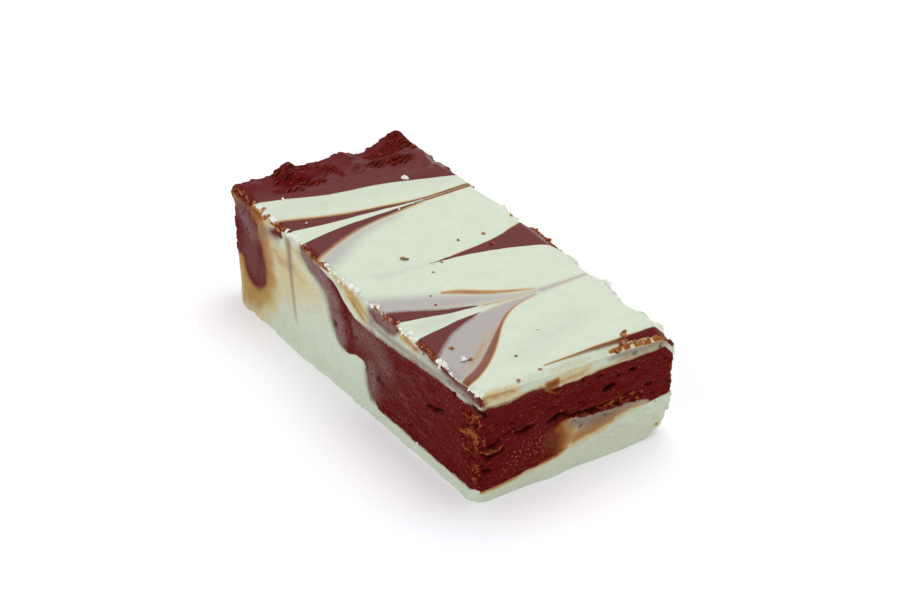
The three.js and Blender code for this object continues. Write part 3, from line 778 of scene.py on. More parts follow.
def cut_depth(x, z):
    in_body = ease(4, 9, x) * ease(2.2, 3.2, z) * ease(23, 21, z)
    scrapes = in_body * 0.08 * rough(x / 2.5, z / 0.4, 61, 3)
    grains = 0.07 * rough(x / 0.7, z / 0.6, 62, 2) * ease(-8, 0, x)
    torn = ease(42, 46, x) * ease(3.0, 6.0, z) * ease(25.0, 22.0, z)
    notches = torn * (0.7 * np.clip(rough(x / 1.7 + z / 4, z / 1.0, 64, 3), -0.2, 1) - 0.1)
    ragged_foot = 0.2 * rough(x / 2.2, 0.0, 66, 3) * ease(1.6, 0.2, z)
    crumbly = 0.3 * widest(x, z, CUT_CRUMBLY, 0.4) * rough(x / 0.9, z / 0.7, 67, 3)
    skin = 0.03 * rough(x / 1.6, z / 1.1, 68, 2)
    far_scuffs = 0.12 * rough(x / 0.9, z / 2.0, 70, 3) * ease(-38, -41, x) * ease(14, 18, z)
    opened = hole_depth(x, z, CUT_HOLES, 69) + ridge_height(x, z, CUT_CRACKS, 161)
    raised = ridge_height(x, z, CUT_LIPS, CUT_LIP_SEED)
    return scrapes + grains + notches + ragged_foot + crumbly + skin + far_scuffs + opened - raised


def near_depth(y, z):
    in_body = ease(3.0, 6.5, z) * ease(22.8, 21.5, z)
    smooth_corner = ease(-13, -17, y) * ease(14, 16.5, z)
    striations = in_body * 0.16 * rough(y / 3.5, z / 0.55, 71, 3) * (1 - 0.8 * smooth_corner)
    flecks = widest(y, z, [FLECKED], 1.5) * 0.16 * rough(y / 0.7, z / 0.6, 74, 2)
    flaky = widest(y, z, [FLAKY_ROW], 0.6) * 0.4 * rough(y / 1.0, z / 0.5, 75, 3)
    torn = ease(-20.5, -23.5, y) * ease(3.0, 6.0, z) * ease(24, 21, z)
    notches = torn * 0.6 * np.clip(rough(y / 1.4, z / 0.8, 76, 3), -0.2, 1)
    crumbly_edge = 0.4 * ease(23.5, 26, y) * rough(y / 1.5, z / 0.9, 77, 3)
    skin = 0.02 * rough(y / 1.8, z / 1.3, 79, 2)
    opened = hole_depth(y, z, NEAR_HOLES, 80) + ridge_height(y, z, NEAR_CRACKS, 165)
    raised = ridge_height(y, z, NEAR_LIPS, NEAR_LIP_SEED)
    return striations + flecks + flaky + notches + crumbly_edge + skin + opened - raised


def crumbly_depth(x, z):
    lumps = 0.4 * rough(x / 3.4, z / 2.2, 81, 4) * ease(2, 6, z)
    return lumps + hole_depth(x, z, CRUMBLY_HOLES, 85)


def far_depth(y, z):
    teeth = (0.7 * np.abs(rough(y / 3.0, z / 1.0, 91, 3)) - 0.35) * ease(8, 11, z)
    teeth = teeth * mix(1, 2.2, ease(-15, -20, y) * ease(22, 19, z))
    lip = -1.7 * hump(z, 25.4, 1.7) * ease(-17, -23, y)
    return teeth + lip + hole_depth(y, z, FAR_HOLES, 95)


def on_bar(x, y, z):
    """A block point in its real place, in metres: plan, then the depths dug into the sides."""
    px, py = settled(x, y, z)
    sides = (
        (y - CUT_SIDE, cut_depth, x, "y", 1),
        (CRUMBLY_SIDE - y, crumbly_depth, x, "y", -1),
        (NEAR - x, near_depth, y, "x", -1),
        (x - FAR, far_depth, y, "x", 1),
    )
    for inward, depth, along, axis, sign in sides:
        close = inward < DEPTH_REACH
        dug = np.zeros(np.shape(px))
        dug[close] = depth(along[close], z[close]) * ease(DEPTH_REACH, 0, inward[close])
        if axis == "x":
            px = px + sign * dug
        else:
            py = py + sign * dug
    return np.stack([px - BLOCK_MIDDLE.x, py - BLOCK_MIDDLE.y, z], axis=-1) * MM


print("a cut-side point:", np.round(on_bar(np.zeros(1), np.full(1, CUT_SIDE), np.full(1, 10.0)) / MM, 2))

# %% [markdown]
# ## A layer as a dense block
# Each layer starts as a flat grid, as fine as a third of a millimetre. It is extruded upwards, and its
# walls are cut into levels, which makes a closed block. Then every point is moved to its place between
# the layer's lower and upper height. The grid is crowded at the edges, where most happens. Sheets that
# another layer covers are thinned out again, because nobody sees them.

# %% Build one block
STRIP_COLUMNS = 66
MINT_COLUMNS = 280
ROWS = 168


def crowded_shares(count, density):
    t = (np.arange(2000) + 0.5) / 2000
    sums = np.concatenate([[0], np.cumsum(density(t))])
    return np.interp(np.linspace(0, sums[-1], count + 1), sums, np.linspace(0, 1, 2001))


STRIP_SHARES = crowded_shares(STRIP_COLUMNS, lambda t: 1 + hump(t, 0, 0.1))
MINT_SHARES = crowded_shares(MINT_COLUMNS, lambda t: 1 + 0.9 * ease(0.93, 1, t))
ROW_SHARES = crowded_shares(ROWS, lambda t: 1 + 1.0 * hump(t, 0, 0.04) + 0.6 * hump(t, 1, 0.08))


def place_in_plan(column, row):
    y = mix(CUT_SIDE, CRUMBLY_SIDE, ROW_SHARES[row])
    edge = strip_edge(y)
    in_strip = column <= STRIP_COLUMNS
    strip_x = mix(FAR, edge, STRIP_SHARES[np.minimum(column, STRIP_COLUMNS)])
    mint_x = mix(edge, NEAR, MINT_SHARES[np.maximum(column - STRIP_COLUMNS, 0)])
    return np.where(in_strip, strip_x, mint_x), y


def edge_ends(mesh):
    ends = np.empty(len(mesh.edges) * 2, np.int32)
    mesh.edges.foreach_get("vertices", ends)
    return ends.reshape(-1, 2)


def select_edges(mesh, chosen):
    """Selects exactly these edges, with their ends."""
    flags = np.zeros(len(mesh.vertices), bool)
    flags[edge_ends(mesh)[chosen].ravel()] = True
    mesh.vertices.foreach_set("select", flags)
    mesh.edges.foreach_set("select", chosen)
    mesh.polygons.foreach_set("select", np.zeros(len(mesh.polygons), bool))
    mesh.update()


def points_of(mesh):
    flat = np.empty(len(mesh.vertices) * 3, np.float32)
    mesh.vertices.foreach_get("co", flat)
    return flat.reshape(-1, 3).astype(float)


def block_grid(name, columns, levels):
    """A closed block whose points sit at whole numbers: column, row and level."""
    deselect_all()
    bpy.ops.mesh.primitive_grid_add(x_subdivisions=columns, y_subdivisions=ROWS, size=1)
    block = bpy.context.object
    block.name = name
    mesh = block.data
    bpy.ops.object.mode_set(mode="EDIT")
    bpy.ops.mesh.select_all(action="SELECT")
    bpy.ops.mesh.extrude_region_move(TRANSFORM_OT_translate={"value": (0, 0, 1)})
    bpy.ops.object.mode_set(mode="OBJECT")
    heights = points_of(mesh)[:, 2][edge_ends(mesh)]
    bpy.context.tool_settings.mesh_select_mode = (False, True, False)
    select_edges(mesh, np.abs(heights[:, 0] - heights[:, 1]) > 0.5)
    bpy.ops.object.mode_set(mode="EDIT")
    bpy.ops.mesh.subdivide(number_cuts=levels - 1)
    bpy.ops.object.mode_set(mode="OBJECT")
    bpy.context.tool_settings.mesh_select_mode = (True, False, False)
    unit = points_of(mesh)
    column = np.rint((unit[:, 0] + 0.5) * columns).astype(int)
    row = np.rint((unit[:, 1] + 0.5) * ROWS).astype(int)
    level = unit[:, 2] * levels
    return block, column, row, level


# %% [markdown]
# ## Paint
# The colour of a place mostly follows what happened there, so each point gets a few numbers that the
# materials read: how far inside a dark patch it lies, how soft that patch's edge is, how strongly it
# is stained brown or mustard yellow, how grey or mauve its haze is, how much painted sheen it gets,
# how torn it is, how much painted shade its hole or crack gets, how glossy the skin is, and how many
# orange flecks it has. One function paints the top, and one paints each side.

# %% Paint the top and the sides
LOBE_MIDDLE = (10.3, 5.9)  # the round lower corner of the body on the cut side
LOBE_RADIUS = 3.4
NEAR_SOFT_PLACES = [(-6.8, 11.5, 1.6), (-5.8, 7.5, 2.0)]
NEAR_LUMP = [(-6.8, 24.0, 1.2), (-5.0, 24.1, 1.2)]
CRUMBLY_WEDGE = [(4.2, 30, 6.0), (4.4, 25, 4.2), (4.0, 21, 2.2)]
PAINTS = (
    "cocoa", "softness", "stain", "mustard", "haze", "mauve", "painted_sheen", "torn", "pit_shade", "poured", "flecks",
)


def no_paint(count):
    return {name: np.zeros(count) for name in PAINTS}


def paint_top(x, y):
    a, b = x - PATTERN_MIDDLE_X, y - PATTERN_MIDDLE_Y
    paint = no_paint(len(x))
    streaks = deepest(a, b, TOP_STREAKS)
    wavy = 0.07 * noise(a / 1.7, b / 1.7, 101)
    in_strip = ease(0, 1, strip_edge(y) - x)
    crags = craggy(a, b) * in_strip
    broken = ease(-1.1, -0.3, rough(y / 1.3, x / 1.3, 104, 2))
    crumbly = widest(a, b, TOP_CRUMBLY, 0.4) * broken
    paint["cocoa"] = np.maximum(streaks + wavy, strip_edge(y) + wavy - x)
    paint["softness"] = 0.14 + 0.75 * widest(a, b, SOFT_SIDES, 0.9)
    paint["stain"] = np.maximum(strongest(a, b, TOP_STAINS), 0.85 * crumbly)
    paint["haze"] = strongest(a, b, TOP_HAZES) * (1 - 0.9 * ease(0.35, 0.7, paint["stain"]))
    tears, lips = torn_rows(a, b)
    chips = rim_chips(x, y)
    patchy = ease(-0.5, 0.4, noise(x / 2.6, 0.0, 103))
    rim = ease(1.3, 0.5, y - CUT_SIDE) * ease(-0.4, 0.3, rough(x / 0.7, y / 0.6, 102, 3)) * patchy
    rim = np.maximum(rim, ease(0.12, 0.4, chips))
    # the crags' lips get the torn paint, which on chocolate is partly a painted highlight
    paint["torn"] = np.clip(crags * lips * 0.6 + rim + crumbly, 0, 1)
    # painted shade: the tears in the crags are darkened as if in shadow
    paint["pit_shade"] = crags * tears
    skin = mix(1, 0.45, ease(-41.5, -46, x) * in_strip) * (1 - crags) * (1 - rim) * ease(0.2, 0.05, chips)
    paint["poured"] = 0.8 * skin * ease(NEAR - 0.5, NEAR - 3.5, x) * (1 - crumbly)
    return paint


def layer_body(lower, upper, z, thinnest):
    """How far inside the chocolate layer a height is; a layer that is too thin doesn't show."""
    return np.minimum(z - lower, upper - z) - 3.5 * ease(thinnest + 1.5, thinnest, upper - lower)


def heights_at(x, y):
    top = top_height(x, y)
    return base_height(x, y), chocolate_height(x, y, top)


def paint_cut(x, z):
    paint = no_paint(len(x))
    y = np.full(len(x), CUT_SIDE)
    lower, upper = heights_at(x, y)
    steep = np.hypot(1, (base_height(x + 0.3, y) - base_height(x - 0.3, y)) / 0.6)
    body = np.minimum((z - lower) / steep, upper - z) - 3.5 * ease(3.0, 1.2, upper - lower)
    body = body - 4.0 * ease(-35, -38, x)
    rounded = LOBE_RADIUS - np.hypot(LOBE_MIDDLE[0] - x, LOBE_MIDDLE[1] - z)
    in_corner = (x < LOBE_MIDDLE[0]) & (z < LOBE_MIDDLE[1])
    body = np.where(in_corner, np.minimum(body, rounded), body)
    streaks = deepest(x, z, CUT_STREAKS)
    crumbly = widest(x, z, CUT_CRUMBLY, 0.5)
    wavy_x, wavy_z = x + 0.7 * noise(x / 2.6, z / 2.0, 116), z + 0.5 * noise(x / 2.6, z / 2.0, 117)
    paint["cocoa"] = np.maximum(body, streaks) + 0.3 * noise(x / 2.2, z / 1.4, 103)
    paint["softness"] = 0.26 + strongest(x, z, CUT_SOFT)
    paint["stain"] = np.maximum(strongest(wavy_x, wavy_z, CUT_STAINS), 0.82 * crumbly)
    paint["mustard"] = strongest(x, z, CUT_MUSTARD)
    paint["mauve"] = strongest(x, z, CUT_HAZES) * (1 - 0.5 * ease(0.6, 0.85, paint["stain"]))
    # painted sheen along the knife's scrapes and in the listed patches, none on the dark curl
    scraped = 0.22 * np.clip(rough(x / 3.5, z / 0.5, 104, 3), -0.1, 1) * ease(6, 12, x)
    scraped = scraped * ease(44, 24, x) * ease(2.5, 6, z)
    curl = 1 - 0.9 * soft_stroke(x, z, CUT_DARK_CURL, 0.6)
    paint["painted_sheen"] = np.clip(np.maximum(scraped, strongest(x, z, CUT_SHEENS)), 0, 1) * curl
    ragged = rough(x / 1.1, z / 0.7, 105, 3)
    corner = ease(43, 46.5, x) * ease(3, 6, z) * ease(24, 21, z) * ease(0.3, 0.6, ragged) * 0.4
    rim = hump(z, 27.3, 0.6) * ease(-0.1, 0.4, ragged) * 0.8
    # raised lips get the torn paint, which on chocolate is partly a painted highlight
    lips = ease(0.2, 0.6, ridge_height(x, z, CUT_LIPS, CUT_LIP_SEED))
    paint["torn"] = np.clip(corner + rim + lips + crumbly * ease(-0.4, 0.3, ragged), 0, 1)
    # painted shade in the cut side's holes, cracks and scrapes, deeper ones darker
    paint["pit_shade"] = ease(0.3, 0.7, cut_depth(x, z))
    paint["flecks"] = 0.25 * ease(-2, 6, x) * ease(30, 14, x) + 0.2 * ease(40, 46, x)
    return paint


def paint_near(y, z):
    paint = no_paint(len(y))
    x = np.full(len(y), NEAR)
    lower, upper = heights_at(x, y)
    body = np.minimum(z - lower, upper - z) + 0.2 * noise(y / 2.0, z / 1.0, 106)
    uneven = 0.35 * noise(y / 1.2, z / 0.8, 107)
    for places in NEAR_CLEARED:
        body = np.minimum(body, uneven - stroke(y, z, places))
    paint["softness"] = 0.26 + 2.6 * soft_stroke(y, z, NEAR_SOFT_PLACES, 2.4)
    paint["softness"] += 0.35 * ease(21.5, 22.5, z) * ease(-6, -9, y)
    for places, softness in NEAR_STREAKS:
        margin = stroke(y, z, places)
        paint["softness"] = np.where(margin > body, softness, paint["softness"])
        body = np.maximum(body, margin)
    paint["cocoa"] = body
    fringe = 0.84 * ease(1.3, 0.0, lower - z) * ease(-3, -1, lower - z) * ease(1, -3, y)
    patchy = 0.7 + 0.3 * noise(y / 2.2, z / 1.5, 108)
    wavy_y, wavy_z = y + 0.6 * noise(y / 1.6, z / 1.2, 114), z + 0.35 * noise(y / 1.6, z / 1.2, 115)
    glow = strongest(y, z, NEAR_GLOW) * ease(lower - 1.6, lower + 0.8, z) * ease(20, 16, z)
    paint["stain"] = np.maximum(fringe * patchy, np.maximum(glow, strongest(wavy_y, wavy_z, NEAR_STAINS)))
    paint["mauve"] = strongest(y, z, NEAR_HAZES) * (1 - 0.8 * ease(0.5, 0.85, paint["stain"]))
    lines = 0.3 * ease(0.45, 0.9, rough(y / 2.5, z / 0.5, 109, 3)) * ease(-18, -12, y)
    edge = ease(-22, -24, y) * ease(0.2, 0.6, rough(y / 0.8, z / 0.7, 110, 3)) * ease(3, 6, z) * 0.45
    flaky = widest(y, z, [FLAKY_ROW], 0.6) * ease(-0.1, 0.35, rough(y / 0.9, z / 0.5, 111, 3))
    # raised lips get the torn paint, which on chocolate is partly a painted highlight
    lips = ease(0.15, 0.5, ridge_height(y, z, NEAR_LIPS, NEAR_LIP_SEED))
    rim = 0.8 * ease(24.5, 26, y) * ease(0.0, 0.5, rough(y / 0.8, z / 0.9, 112, 3))
    lump_torn = soft_stroke(y, z, NEAR_LUMP, 0.8)
    lump_torn = lump_torn * ease(-0.2, 0.4, rough(y / 0.8, z / 0.7, 113, 3))
    paint["torn"] = np.clip(lump_torn + lines * ease(22.5, 21, z) + edge + 0.9 * flaky + lips + rim, 0, 1)
    # painted shade in the near end's holes and cracks, deeper ones darker
    paint["pit_shade"] = ease(0.25, 0.6, near_depth(y, z))
    paint["flecks"] = np.maximum(0.62 * widest(y, z, [FLECKED], 2.2), 0.06 * ease(-17, -12, y))
    return paint


def paint_hidden_side(along, z, lower, upper, seed, depth):
    paint = no_paint(len(along))
    body = layer_body(lower, upper, z, 1.2) + 0.7 * rough(along / 5, z / 3, seed, 3)
    paint["cocoa"] = body
    paint["softness"] += 0.5
    paint["stain"] = 0.75 * ease(1.8, -0.2, -body) * ease(-0.3, 0.5, noise(along / 9, z / 7, seed + 4))
    paint["mauve"] = 0.5 * ease(1.2, 0, -body) * ease(0.2, -0.4, noise(along / 9, z / 7, seed + 4))
    # painted sheen in random patches on the hidden sides
    paint["painted_sheen"] = 0.25 * ease(0.0, 0.8, rough(along / 6, z / 2.5, seed + 5, 2))
    paint["torn"] = 0.7 * ease(0.3, 0.8, rough(along / 1.8, z / 1.2, seed + 6, 3))
    # painted shade in the hidden sides' holes
    paint["pit_shade"] = ease(0.5, 1.1, depth)
    return paint


def paint_crumbly(x, z):
    lower, upper = heights_at(x, np.full(len(x), CRUMBLY_SIDE))
    paint = paint_hidden_side(x, z, lower, upper, 121, crumbly_depth(x, z))
    wedge = stroke(x, z, CRUMBLY_WEDGE) + 0.8 * noise(x / 2, z / 2, 127)
    paint["cocoa"] = np.maximum(paint["cocoa"], wedge)
    return paint


def paint_far(y, z):
    lower, upper = heights_at(np.full(len(y), FAR), y)
    paint = paint_hidden_side(y, z, lower, upper, 131, far_depth(y, z))
    # less painted sheen on the far end
    paint["painted_sheen"] *= 0.6
    return paint


def painted(x, y, z, on_top):
    """Every point's paint: the top's where the top sheet shows, else that of the nearest side."""
    paint = no_paint(len(x))
    inward = np.stack([y - CUT_SIDE, NEAR - x, CRUMBLY_SIDE - y, x - FAR])
    side = np.where(on_top, -1, np.argmin(inward, axis=0))
    faces = (
        (-1, paint_top, x, y),
        (0, paint_cut, x, z),
        (1, paint_near, y, z),
        (2, paint_crumbly, x, z),
        (3, paint_far, y, z),
    )
    for number, painter, a, b in faces:
        here = side == number
        if here.any():
            for name, amounts in painter(a[here], b[here]).items():
                paint[name][here] = amounts
    return paint


print("paints:", ", ".join(PAINTS))

# %% [markdown]
# ## The three layers
# Mint at the bottom, chocolate in the middle, mint on top. Neighbours share their boundary's heights,
# so they meet with no gap. The chocolate's own top shows only in the strip.

# %% Build the layers
BASE_LEVELS = 40
CHOCOLATE_LEVELS = 64
TOP_LEVELS = 16
KEPT_RINGS = 3
COVERED_FROM = 7.5  # mm past the strip's edge, where the mint top is thick enough to hide the sheet
THINNED_TO = 0.04
SAME_PLACE = 1e-6
SHARP_ANGLE = math.radians(55)
NO_COLUMN = -1
LAST_COLUMN = STRIP_COLUMNS + MINT_COLUMNS


def bar_top(x, y):
    return top_height(x, y) + top_relief(x, y)


def chocolate_top(x, y):
    return chocolate_height(x, y, bar_top(x, y))


def floor_height(x, y):
    return np.zeros(np.shape(x))


def thin_out(block, covered_points):
    """Leaves only large faces where every corner of a face is covered by another layer."""
    mesh = block.data
    corners = np.empty(len(mesh.loops), np.int32)
    mesh.loops.foreach_get("vertex_index", corners)
    chosen = covered_points[corners.reshape(-1, 4)].all(axis=1)
    flags = np.zeros(len(mesh.vertices), bool)
    flags[corners.reshape(-1, 4)[chosen].ravel()] = True
    mesh.vertices.foreach_set("select", flags)
    mesh.edges.foreach_set("select", np.zeros(len(mesh.edges), bool))
    mesh.polygons.foreach_set("select", chosen)
    bpy.ops.object.mode_set(mode="EDIT")
    bpy.ops.mesh.decimate(ratio=THINNED_TO)
    bpy.ops.mesh.select_all(action="SELECT")
    bpy.ops.mesh.remove_doubles(threshold=SAME_PLACE)
    bpy.ops.mesh.normals_make_consistent(inside=False)
    bpy.ops.object.mode_set(mode="OBJECT")


def layer(name, lower, upper, levels, first_column, top_shows_until):
    columns = LAST_COLUMN - first_column
    block, column, row, level = block_grid(name, columns, levels)
    column = column + first_column
    x, y = place_in_plan(column, row)
    z = mix(lower(x, y), upper(x, y), level / levels)
    mesh = block.data
    mesh.vertices.foreach_set("co", on_bar(x, y, z).astype(np.float32).ravel())

    highest = level > levels - 0.5
    for paint, amounts in painted(x, y, z, highest & (column <= top_shows_until)).items():
        layer_paint = mesh.attributes.new(paint, "FLOAT", "POINT")
        layer_paint.data.foreach_set("value", amounts.astype(np.float32))

    inner = (column >= first_column + KEPT_RINGS) & (column <= LAST_COLUMN - KEPT_RINGS)
    inner &= (row >= KEPT_RINGS) & (row <= ROWS - KEPT_RINGS)
    past_strip = x > strip_edge(y) + COVERED_FROM
    covered = inner & ((level < 0.5) | (highest & (name != "mint_top_layer") & past_strip))
    if name == "mint_base_layer":
        covered = inner & ((level < 0.5) | highest)
    thin_out(block, covered)
    bpy.ops.object.shade_smooth_by_angle(angle=SHARP_ANGLE)
    mesh.calc_loop_triangles()
    print(name, "has", len(mesh.loop_triangles), "triangles")
    return block


# the last number is the column up to which a layer's own top shows
base_layer = layer("mint_base_layer", floor_height, base_height, BASE_LEVELS, 0, NO_COLUMN)
middle_layer = layer("chocolate_middle_layer", base_height, chocolate_top, CHOCOLATE_LEVELS, 0, STRIP_COLUMNS)
top_layer = layer("mint_top_layer", chocolate_top, bar_top, TOP_LEVELS, STRIP_COLUMNS, LAST_COLUMN)

# %% [markdown]
# ## Crumbs
# The knife leaves crumbs on the rims: chalky white ones from the mint, orange brown ones from the
# chocolate. A few lie loose on the top and at the foot. One lump is modelled, a small ball pushed
# about by noise, and every crumb is a copy of it, turned and stretched. Scattering flat specks of
# paint would be quicker, but the rims would look clean from the side. Crumbs of one colour are joined,
# so they make one piece.

# %% Scatter the crumbs
# each: start and end along the rim in mm, crumbs to the mm
MINT_RIM = [(-41.1, -37.2, 2.2), (-27.6, -23, 3.2), (-23, -20.4, 1.6), (-12.2, 5.6, 1.2), (19.6, 26.7, 2.2),
            (35.3, 44.9, 1.2), (46.4, 50.5, 1.2)]
COCOA_RIM = [(-47.9, -41.1, 2.6), (-39.4, -27.9, 1.2), (-20.4, -10.8, 2.4), (9.9, 19.2, 2.6),
             (26.4, 35.6, 2.6)]
MINT_BACK_RIM = [(-20.8, -2.2, 1.4), (11.4, 48.5, 1.2)]
COCOA_BACK_RIM = [(-28.6, -25.8, 1.8), (-22.6, -21, 1.8), (-1.9, 11.4, 2.0)]

# loose on the top: place in the marbling's own x and y, radius in mm
COCOA_LOOSE = [
    (-3.1, -7.9, 0.7), (-2.1, 12.5, 0.4), (-2.9, 6.4, 0.3), (2.6, -1.8, 0.35), (2.3, 11.8, 0.6),
    (5.3, -5.7, 0.3), (13, -11.4, 0.32), (16.6, -12.5, 0.32), (42.6, -9.3, 0.38), (32.6, -18.9, 0.7),
    (38.4, -17.9, 0.55), (-5.5, 22.5, 0.45), (49.4, -7.9, 0.38), (50.1, -13.9, 0.38), (47.6, 14.9, 0.6),
    (48.4, 14.3, 0.75), (49.3, 13.9, 0.7), (50.0, 12.8, 0.7), (50.6, 11.2, 0.6), (49.9, 16.4, 0.5),
]
MINT_LOOSE = [
    (38, -19.3, 0.7), (37.2, -18.9, 0.4), (-33, 11.3, 0.6), (-32.4, 11.6, 0.4), (-40, -17, 0.4),
    (36.5, 0.5, 0.4), (-22.2, 6.5, 0.25), (-21.6, 2.6, 0.3), (-28, -18, 0.3),
]
FOOT_CRUMBS = [
    (6.4, 0.9, 0.3), (8.2, 0.9, 0.4), (10.2, 0.8, 0.3), (27.6, 0.9, 0.4), (28.0, 1.7, 0.3), (27.8, 2.4, 0.3),
]
LUMP_ROUND, LUMP_RINGS = 8, 5
LONGER = 1.5
FLATTER = 0.5
TILT = 0.7


def lump():
    """A ball of forty faces, pushed about until it looks broken off."""
    deselect_all()
    bpy.ops.mesh.primitive_uv_sphere_add(segments=LUMP_ROUND, ring_count=LUMP_RINGS, radius=1)
    ball = bpy.context.object
    points = points_of(ball.data)
    push = 1 + 0.6 * noise(points[:, 0] * 1.6 + points[:, 2], points[:, 1] * 1.6 + points[:, 2], 141)
    ball.data.vertices.foreach_set("co", (points * push[:, None]).astype(np.float32).ravel())
    return ball


def along_rim(ranges, edge_y, inward, draw):
    """Crumbs on one long rim, each with its place on the bar in metres and its radius in mm."""
    crumbs = []
    for start, end, to_the_mm in ranges:
        count = round((end - start) * to_the_mm)
        x = draw.uniform(start, end, count)
        y = edge_y + inward * draw.uniform(0.0, 0.9, count) ** 2
        z = bar_top(x, y) - 0.9 * draw.random(count) ** 3
        radii = 0.2 + 0.4 * draw.random(count) ** 2
        crumbs += list(zip(on_bar(x, y, z), radii))
    return crumbs


def on_the_top(places):
    a, b, radii = np.array(places, float).T
    x, y = a + PATTERN_MIDDLE_X, b + PATTERN_MIDDLE_Y
    return list(zip(on_bar(x, y, bar_top(x, y) + 0.2 * radii), radii))


def at_the_foot(places):
    x, z, radii = np.array(places, float).T
    return list(zip(on_bar(x, np.full(len(x), CUT_SIDE), z), radii))


def scatter(name, crumbs, draw):
    """One joined piece: a turned and stretched copy of the lump for every crumb."""
    pattern = lump()
    copies = []
    for place, radius in crumbs:
        copy = pattern.copy()
        copy.data = pattern.data.copy()
        bpy.context.scene.collection.objects.link(copy)
        copy.location = Vector(place)
        copy.rotation_euler = (*draw.uniform(-TILT, TILT, 2), draw.uniform(0, 2 * math.pi))
        copy.scale = Vector(draw.uniform(0.6, 1.2, 3)) * radius * MM
        copy.scale.x *= LONGER
        copy.scale.z *= FLATTER
        copies.append(copy)
    bpy.data.objects.remove(pattern)
    deselect_all()
    for copy in copies:
        copy.select_set(True)
    bpy.context.view_layer.objects.active = copies[0]
    bpy.ops.object.join()
    bpy.ops.object.transform_apply(location=True, rotation=True, scale=True)
    piece = bpy.context.object
    piece.name = name
    bpy.ops.object.shade_smooth_by_angle(angle=SHARP_ANGLE / 2)
    print(name, "has", len(crumbs), "crumbs")
    return piece


draw = np.random.default_rng(143)
mint_places = along_rim(MINT_RIM, CUT_SIDE, 1, draw) + along_rim(MINT_BACK_RIM, CRUMBLY_SIDE, -1, draw)
mint_places += on_the_top(MINT_LOOSE) + at_the_foot(FOOT_CRUMBS)
cocoa_places = along_rim(COCOA_RIM, CUT_SIDE, 1, draw) + along_rim(COCOA_BACK_RIM, CRUMBLY_SIDE, -1, draw)
cocoa_places += on_the_top(COCOA_LOOSE)
mint_crumbs = scatter("mint_crumbs", mint_places, draw)
cocoa_crumbs = scatter("chocolate_crumbs", cocoa_places, draw)

# %% [markdown]
# ## Shader sums
# A material is a set of nodes, and its maths is easier to read as sums. `Value` wraps one socket, so
# that adding or multiplying two values adds the Math node for it. Colours can't go through a Math
# node, which would turn them grey, so they are mixed with a Mix node.

# %% Wrap a socket


class Value:
    def __init__(self, tree, socket):
        self.tree = tree
        self.socket = socket

    def node(self, kind, settings, inputs, output=0):
        """Any node: its settings first, then its sockets' values or links."""
        made = self.tree.nodes.new(kind)
        for name, setting in settings.items():
            setattr(made, name, setting)
        for key, value in inputs.items():
            if isinstance(value, Value):
                self.tree.links.new(value.socket, made.inputs[key])
            else:
                made.inputs[key].default_value = value
        return Value(self.tree, made.outputs[output])

    def plain(self, colour):
        made = self.node("ShaderNodeRGB", {}, {})
        made.socket.default_value = (*colour, 1.0)
        return made

    def math(self, operation, first, second):
        return self.node("ShaderNodeMath", {"operation": operation}, {0: first, 1: second})

    def __add__(self, other):
        return self.math("ADD", self, other)

    __radd__ = __add__

    def __mul__(self, other):
        return self.math("MULTIPLY", self, other)

    __rmul__ = __mul__

    def __sub__(self, other):
        return self.math("SUBTRACT", self, other)

    def __rsub__(self, other):
        return self.math("SUBTRACT", other, self)

    def __truediv__(self, other):
        return self.math("DIVIDE", self, other)

    def larger(self, other):
        return self.math("MAXIMUM", self, other)

    def eased(self, start, end):
        settings = {"interpolation_type": "SMOOTHSTEP"}
        return self.node("ShaderNodeMapRange", settings, {"Value": self, "From Min": start, "From Max": end})

    def tinted(self, colour, amount):
        """This colour, mixed towards another one by the amount."""
        settings = {"data_type": "RGBA", "blend_type": "MIX"}
        other = colour if isinstance(colour, Value) else (*colour, 1.0)
        mine = self.node("ShaderNodeMix", settings, {"Factor": amount}, 2)
        mixer = mine.socket.node
        colour_inputs = [s for s in mixer.inputs if s.type == "RGBA"]
        self.tree.links.new(self.socket, colour_inputs[0])
        if isinstance(other, Value):
            self.tree.links.new(other.socket, colour_inputs[1])
        else:
            colour_inputs[1].default_value = other
        return mine


print("wrapped a socket's sums")

# %% [markdown]
# ## Fudge colours
# Cocoa that creeps into mint passes through cream, caramel and orange brown before it is chocolate,
# so the stain is a ramp of those colours. Torn chocolate shows orange brown crumbs with a painted
# highlight, torn mint turns chalky, a hole gets painted shade inside, and the cut chocolate gets a
# painted grey sheen. Only the poured skin is glossy, so the clear coat follows that paint.

# %% Mix the fudge
MINT = (0.65, 0.72, 0.58)
MINT_SHADE = (0.60, 0.68, 0.53)
CREAM = (0.65, 0.56, 0.32)
CARAMEL = (0.44, 0.24, 0.08)
ORANGE_BROWN = (0.28, 0.09, 0.02)
DARK_BROWN = (0.17, 0.035, 0.015)
MUSTARD = (0.47, 0.35, 0.07)
HAZE = (0.405, 0.365, 0.36)
MAUVE = (0.235, 0.145, 0.12)
# painted sheen: the grey mauve that white light lends the cut chocolate
PAINTED_SHEEN = (0.27, 0.17, 0.16)
CHOCOLATE = (0.12, 0.003, 0.0025)
# torn chocolate: orange brown crumbs and a painted highlight
TORN_CHOCOLATE_HIGHLIGHT = (0.36, 0.11, 0.03)
FLECK = (0.38, 0.13, 0.045)
CHALKY_MINT = (0.86, 0.87, 0.80)
# painted shade: the near black inside holes and cracks
HOLE_SHADE = (0.03, 0.003, 0.002)
CRUMB_WHITE = (0.90, 0.90, 0.84)
CRUMB_ORANGE = (0.46, 0.21, 0.10)
CRUMB_BROWN = (0.17, 0.035, 0.015)


